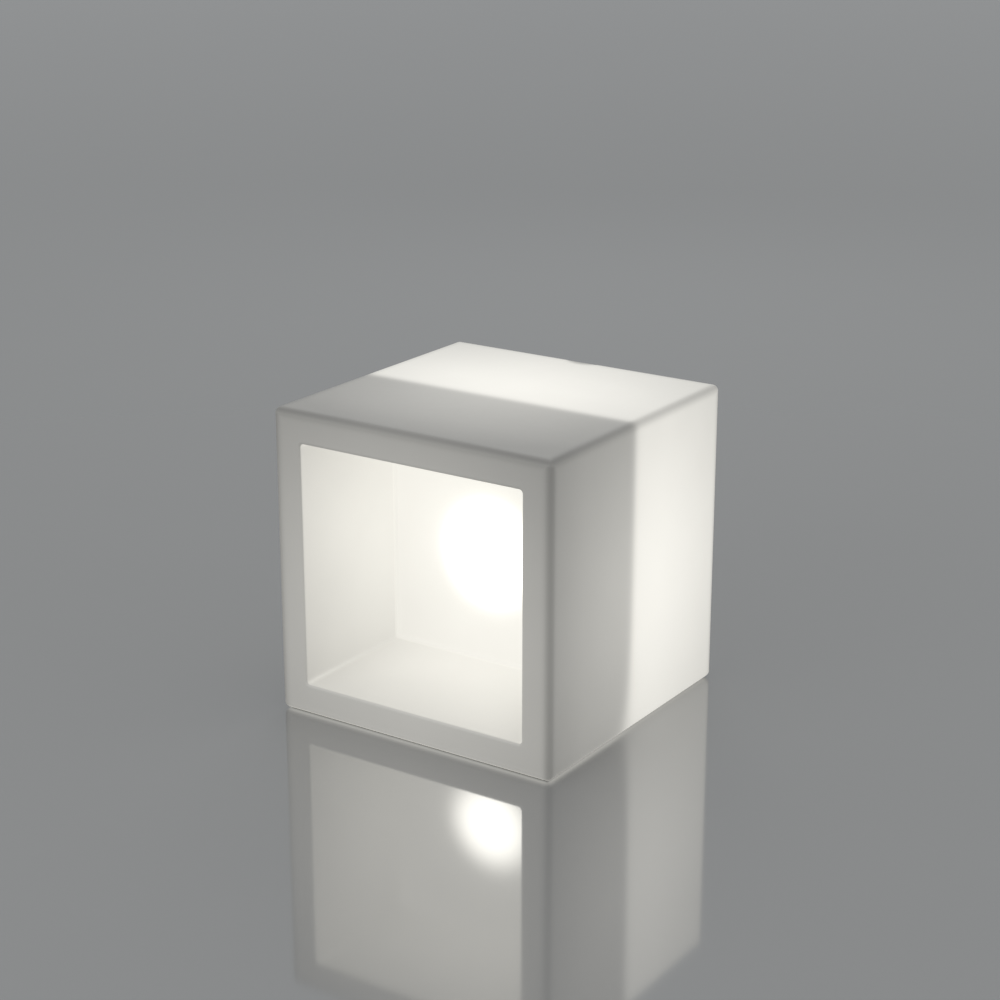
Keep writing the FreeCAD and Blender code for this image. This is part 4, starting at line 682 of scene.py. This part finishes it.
insulation = moulded("redInsulation", (0.36, 0.02, 0.015), (0.46, 0.03, 0.02), (0.35, 0.5), 8)
phosphor = moulded("ledPhosphor", (0.75, 0.60, 0.22), (0.85, 0.72, 0.30), (0.3, 0.4), 2,
                   glow=(0.9, 0.85, 0.7))
opal = moulded("opalDiffuser", (0.68, 0.68, 0.66), (0.74, 0.74, 0.72), (0.35, 0.5), 25,
               glow=(0.9, 0.88, 0.82))
pipePlastic = moulded("clearPipe", (0.45, 0.60, 0.50), (0.55, 0.70, 0.60), (0.08, 0.15), 2, coat=0.6,
                      glow=(0.05, 0.30, 0.10))

finishOf = {"foot_rubber": footRubber, "stainless_screw": steel, "insert_brass": brass,
            "engine_plastic": engineWhite, "housing_plastic": housingWhite, "seal_rubber": blackRubber,
            "button_plastic": keyPlastic, "component_plastic": blackPlastic, "clear_pipe": pipePlastic,
            "nut_chrome": nickel, "circuit_board": solderMask, "cell_wrap": cellWrap, "link_nickel": nickel,
            "lead_insulation": insulation, "spreader_aluminium": aluminium, "white_board": whiteMask,
            "led_package": phosphor, "dome_diffuser": opal, "shell_polyethylene": shellFinish}
for part in frame["record"]["subparts"]:
    dress(nodes[part["node"]], finishOf[part["material_slot"]])
print("finishes:", len(finishOf), "on", len(nodes), "nodes")


# floor, world and lamps; what the lamps have is in metres and watts
studio = {"floorHalf": 30000, "floorColour": (0.19, 0.194, 0.196), "floorDrift": 0.98, "floorSpot": 240,
          "floorRough": (0.05, 0.03), "floorIor": 3.6,
          "backdrop": (0.38, 0.392, 0.40), "skyColour": (1.0, 0.995, 0.98), "sky": 0.84,
          "lampSize": 1.8, "lampAim": (0, 0, 0.2),
          "lamps": {"frontBox": ((-0.6, -2.6, 1.5), 14), "sideBox": ((2.8, 0.4, 1.4), 8),
                    "rearBox": ((-1.2, 2.4, 2.0), 14)}}

floorGrid = np.array([(-1, -1, 0), (1, -1, 0), (1, 1, 0), (-1, 1, 0)], float) * studio["floorHalf"] * mm
floorMesh = bpy.data.meshes.new("floor")
floorMesh.from_pydata(floorGrid.tolist(), [], [(0, 1, 2, 3)])
floor = bpy.data.objects.new("floor", floorMesh)
bpy.context.scene.collection.objects.link(floor)
floorFinish = Finish("paleFloor")
sheen = floorFinish.grain(studio["floorSpot"])
darker = [channel * studio["floorDrift"] for channel in studio["floorColour"]]
roughLow, roughDrift = studio["floorRough"]
dress(floor, floorFinish.set(Base_Color=floorFinish.blendColours(darker, studio["floorColour"], sheen),
                             Roughness=roughLow + roughDrift * sheen, IOR=studio["floorIor"]))

world = bpy.data.worlds.new("studio")
bpy.context.scene.world = world
world.use_nodes = True
tree = world.node_tree
tree.nodes.clear()
path = tree.nodes.new("ShaderNodeLightPath")
seen = Wire(tree, path.outputs["Is Camera Ray"]).most(Wire(tree, path.outputs["Is Glossy Ray"])) \
    .most(Wire(tree, path.outputs["Is Transmission Ray"]))


def sky(colour, strength):  # an even background of one colour
    even = tree.nodes.new("ShaderNodeBackground")
    even.inputs["Color"].default_value = (*colour, 1)
    even.inputs["Strength"].default_value = strength
    return even.outputs[0]


choose = tree.nodes.new("ShaderNodeMixShader")  # what lights the object, and what the camera sees
plug(tree, choose.inputs[0], seen)
tree.links.new(sky(studio["skyColour"], studio["sky"]), choose.inputs[1])
tree.links.new(sky(studio["backdrop"], 1.0), choose.inputs[2])
tree.links.new(choose.outputs[0], tree.nodes.new("ShaderNodeOutputWorld").inputs["Surface"])


def softLamp(name, place, watts):  # a round soft box that faces the cube; gloss doesn't mirror it
    lamp = bpy.data.objects.new(name, bpy.data.lights.new(name, "AREA"))
    lamp.data.shape, lamp.data.size, lamp.data.energy = "DISK", studio["lampSize"], watts
    lamp.location = place
    lamp.rotation_mode = "QUATERNION"
    lamp.rotation_quaternion = (Vector(place) - Vector(studio["lampAim"])).to_track_quat("Z", "Y")
    lamp.visible_glossy = False
    bpy.context.scene.collection.objects.link(lamp)


for name, (place, watts) in studio["lamps"].items():
    softLamp(name, place, watts)
print("studio: floor, world,", len(studio["lamps"]), "lamps")

bpy.context.scene.view_settings.view_transform = "Standard"
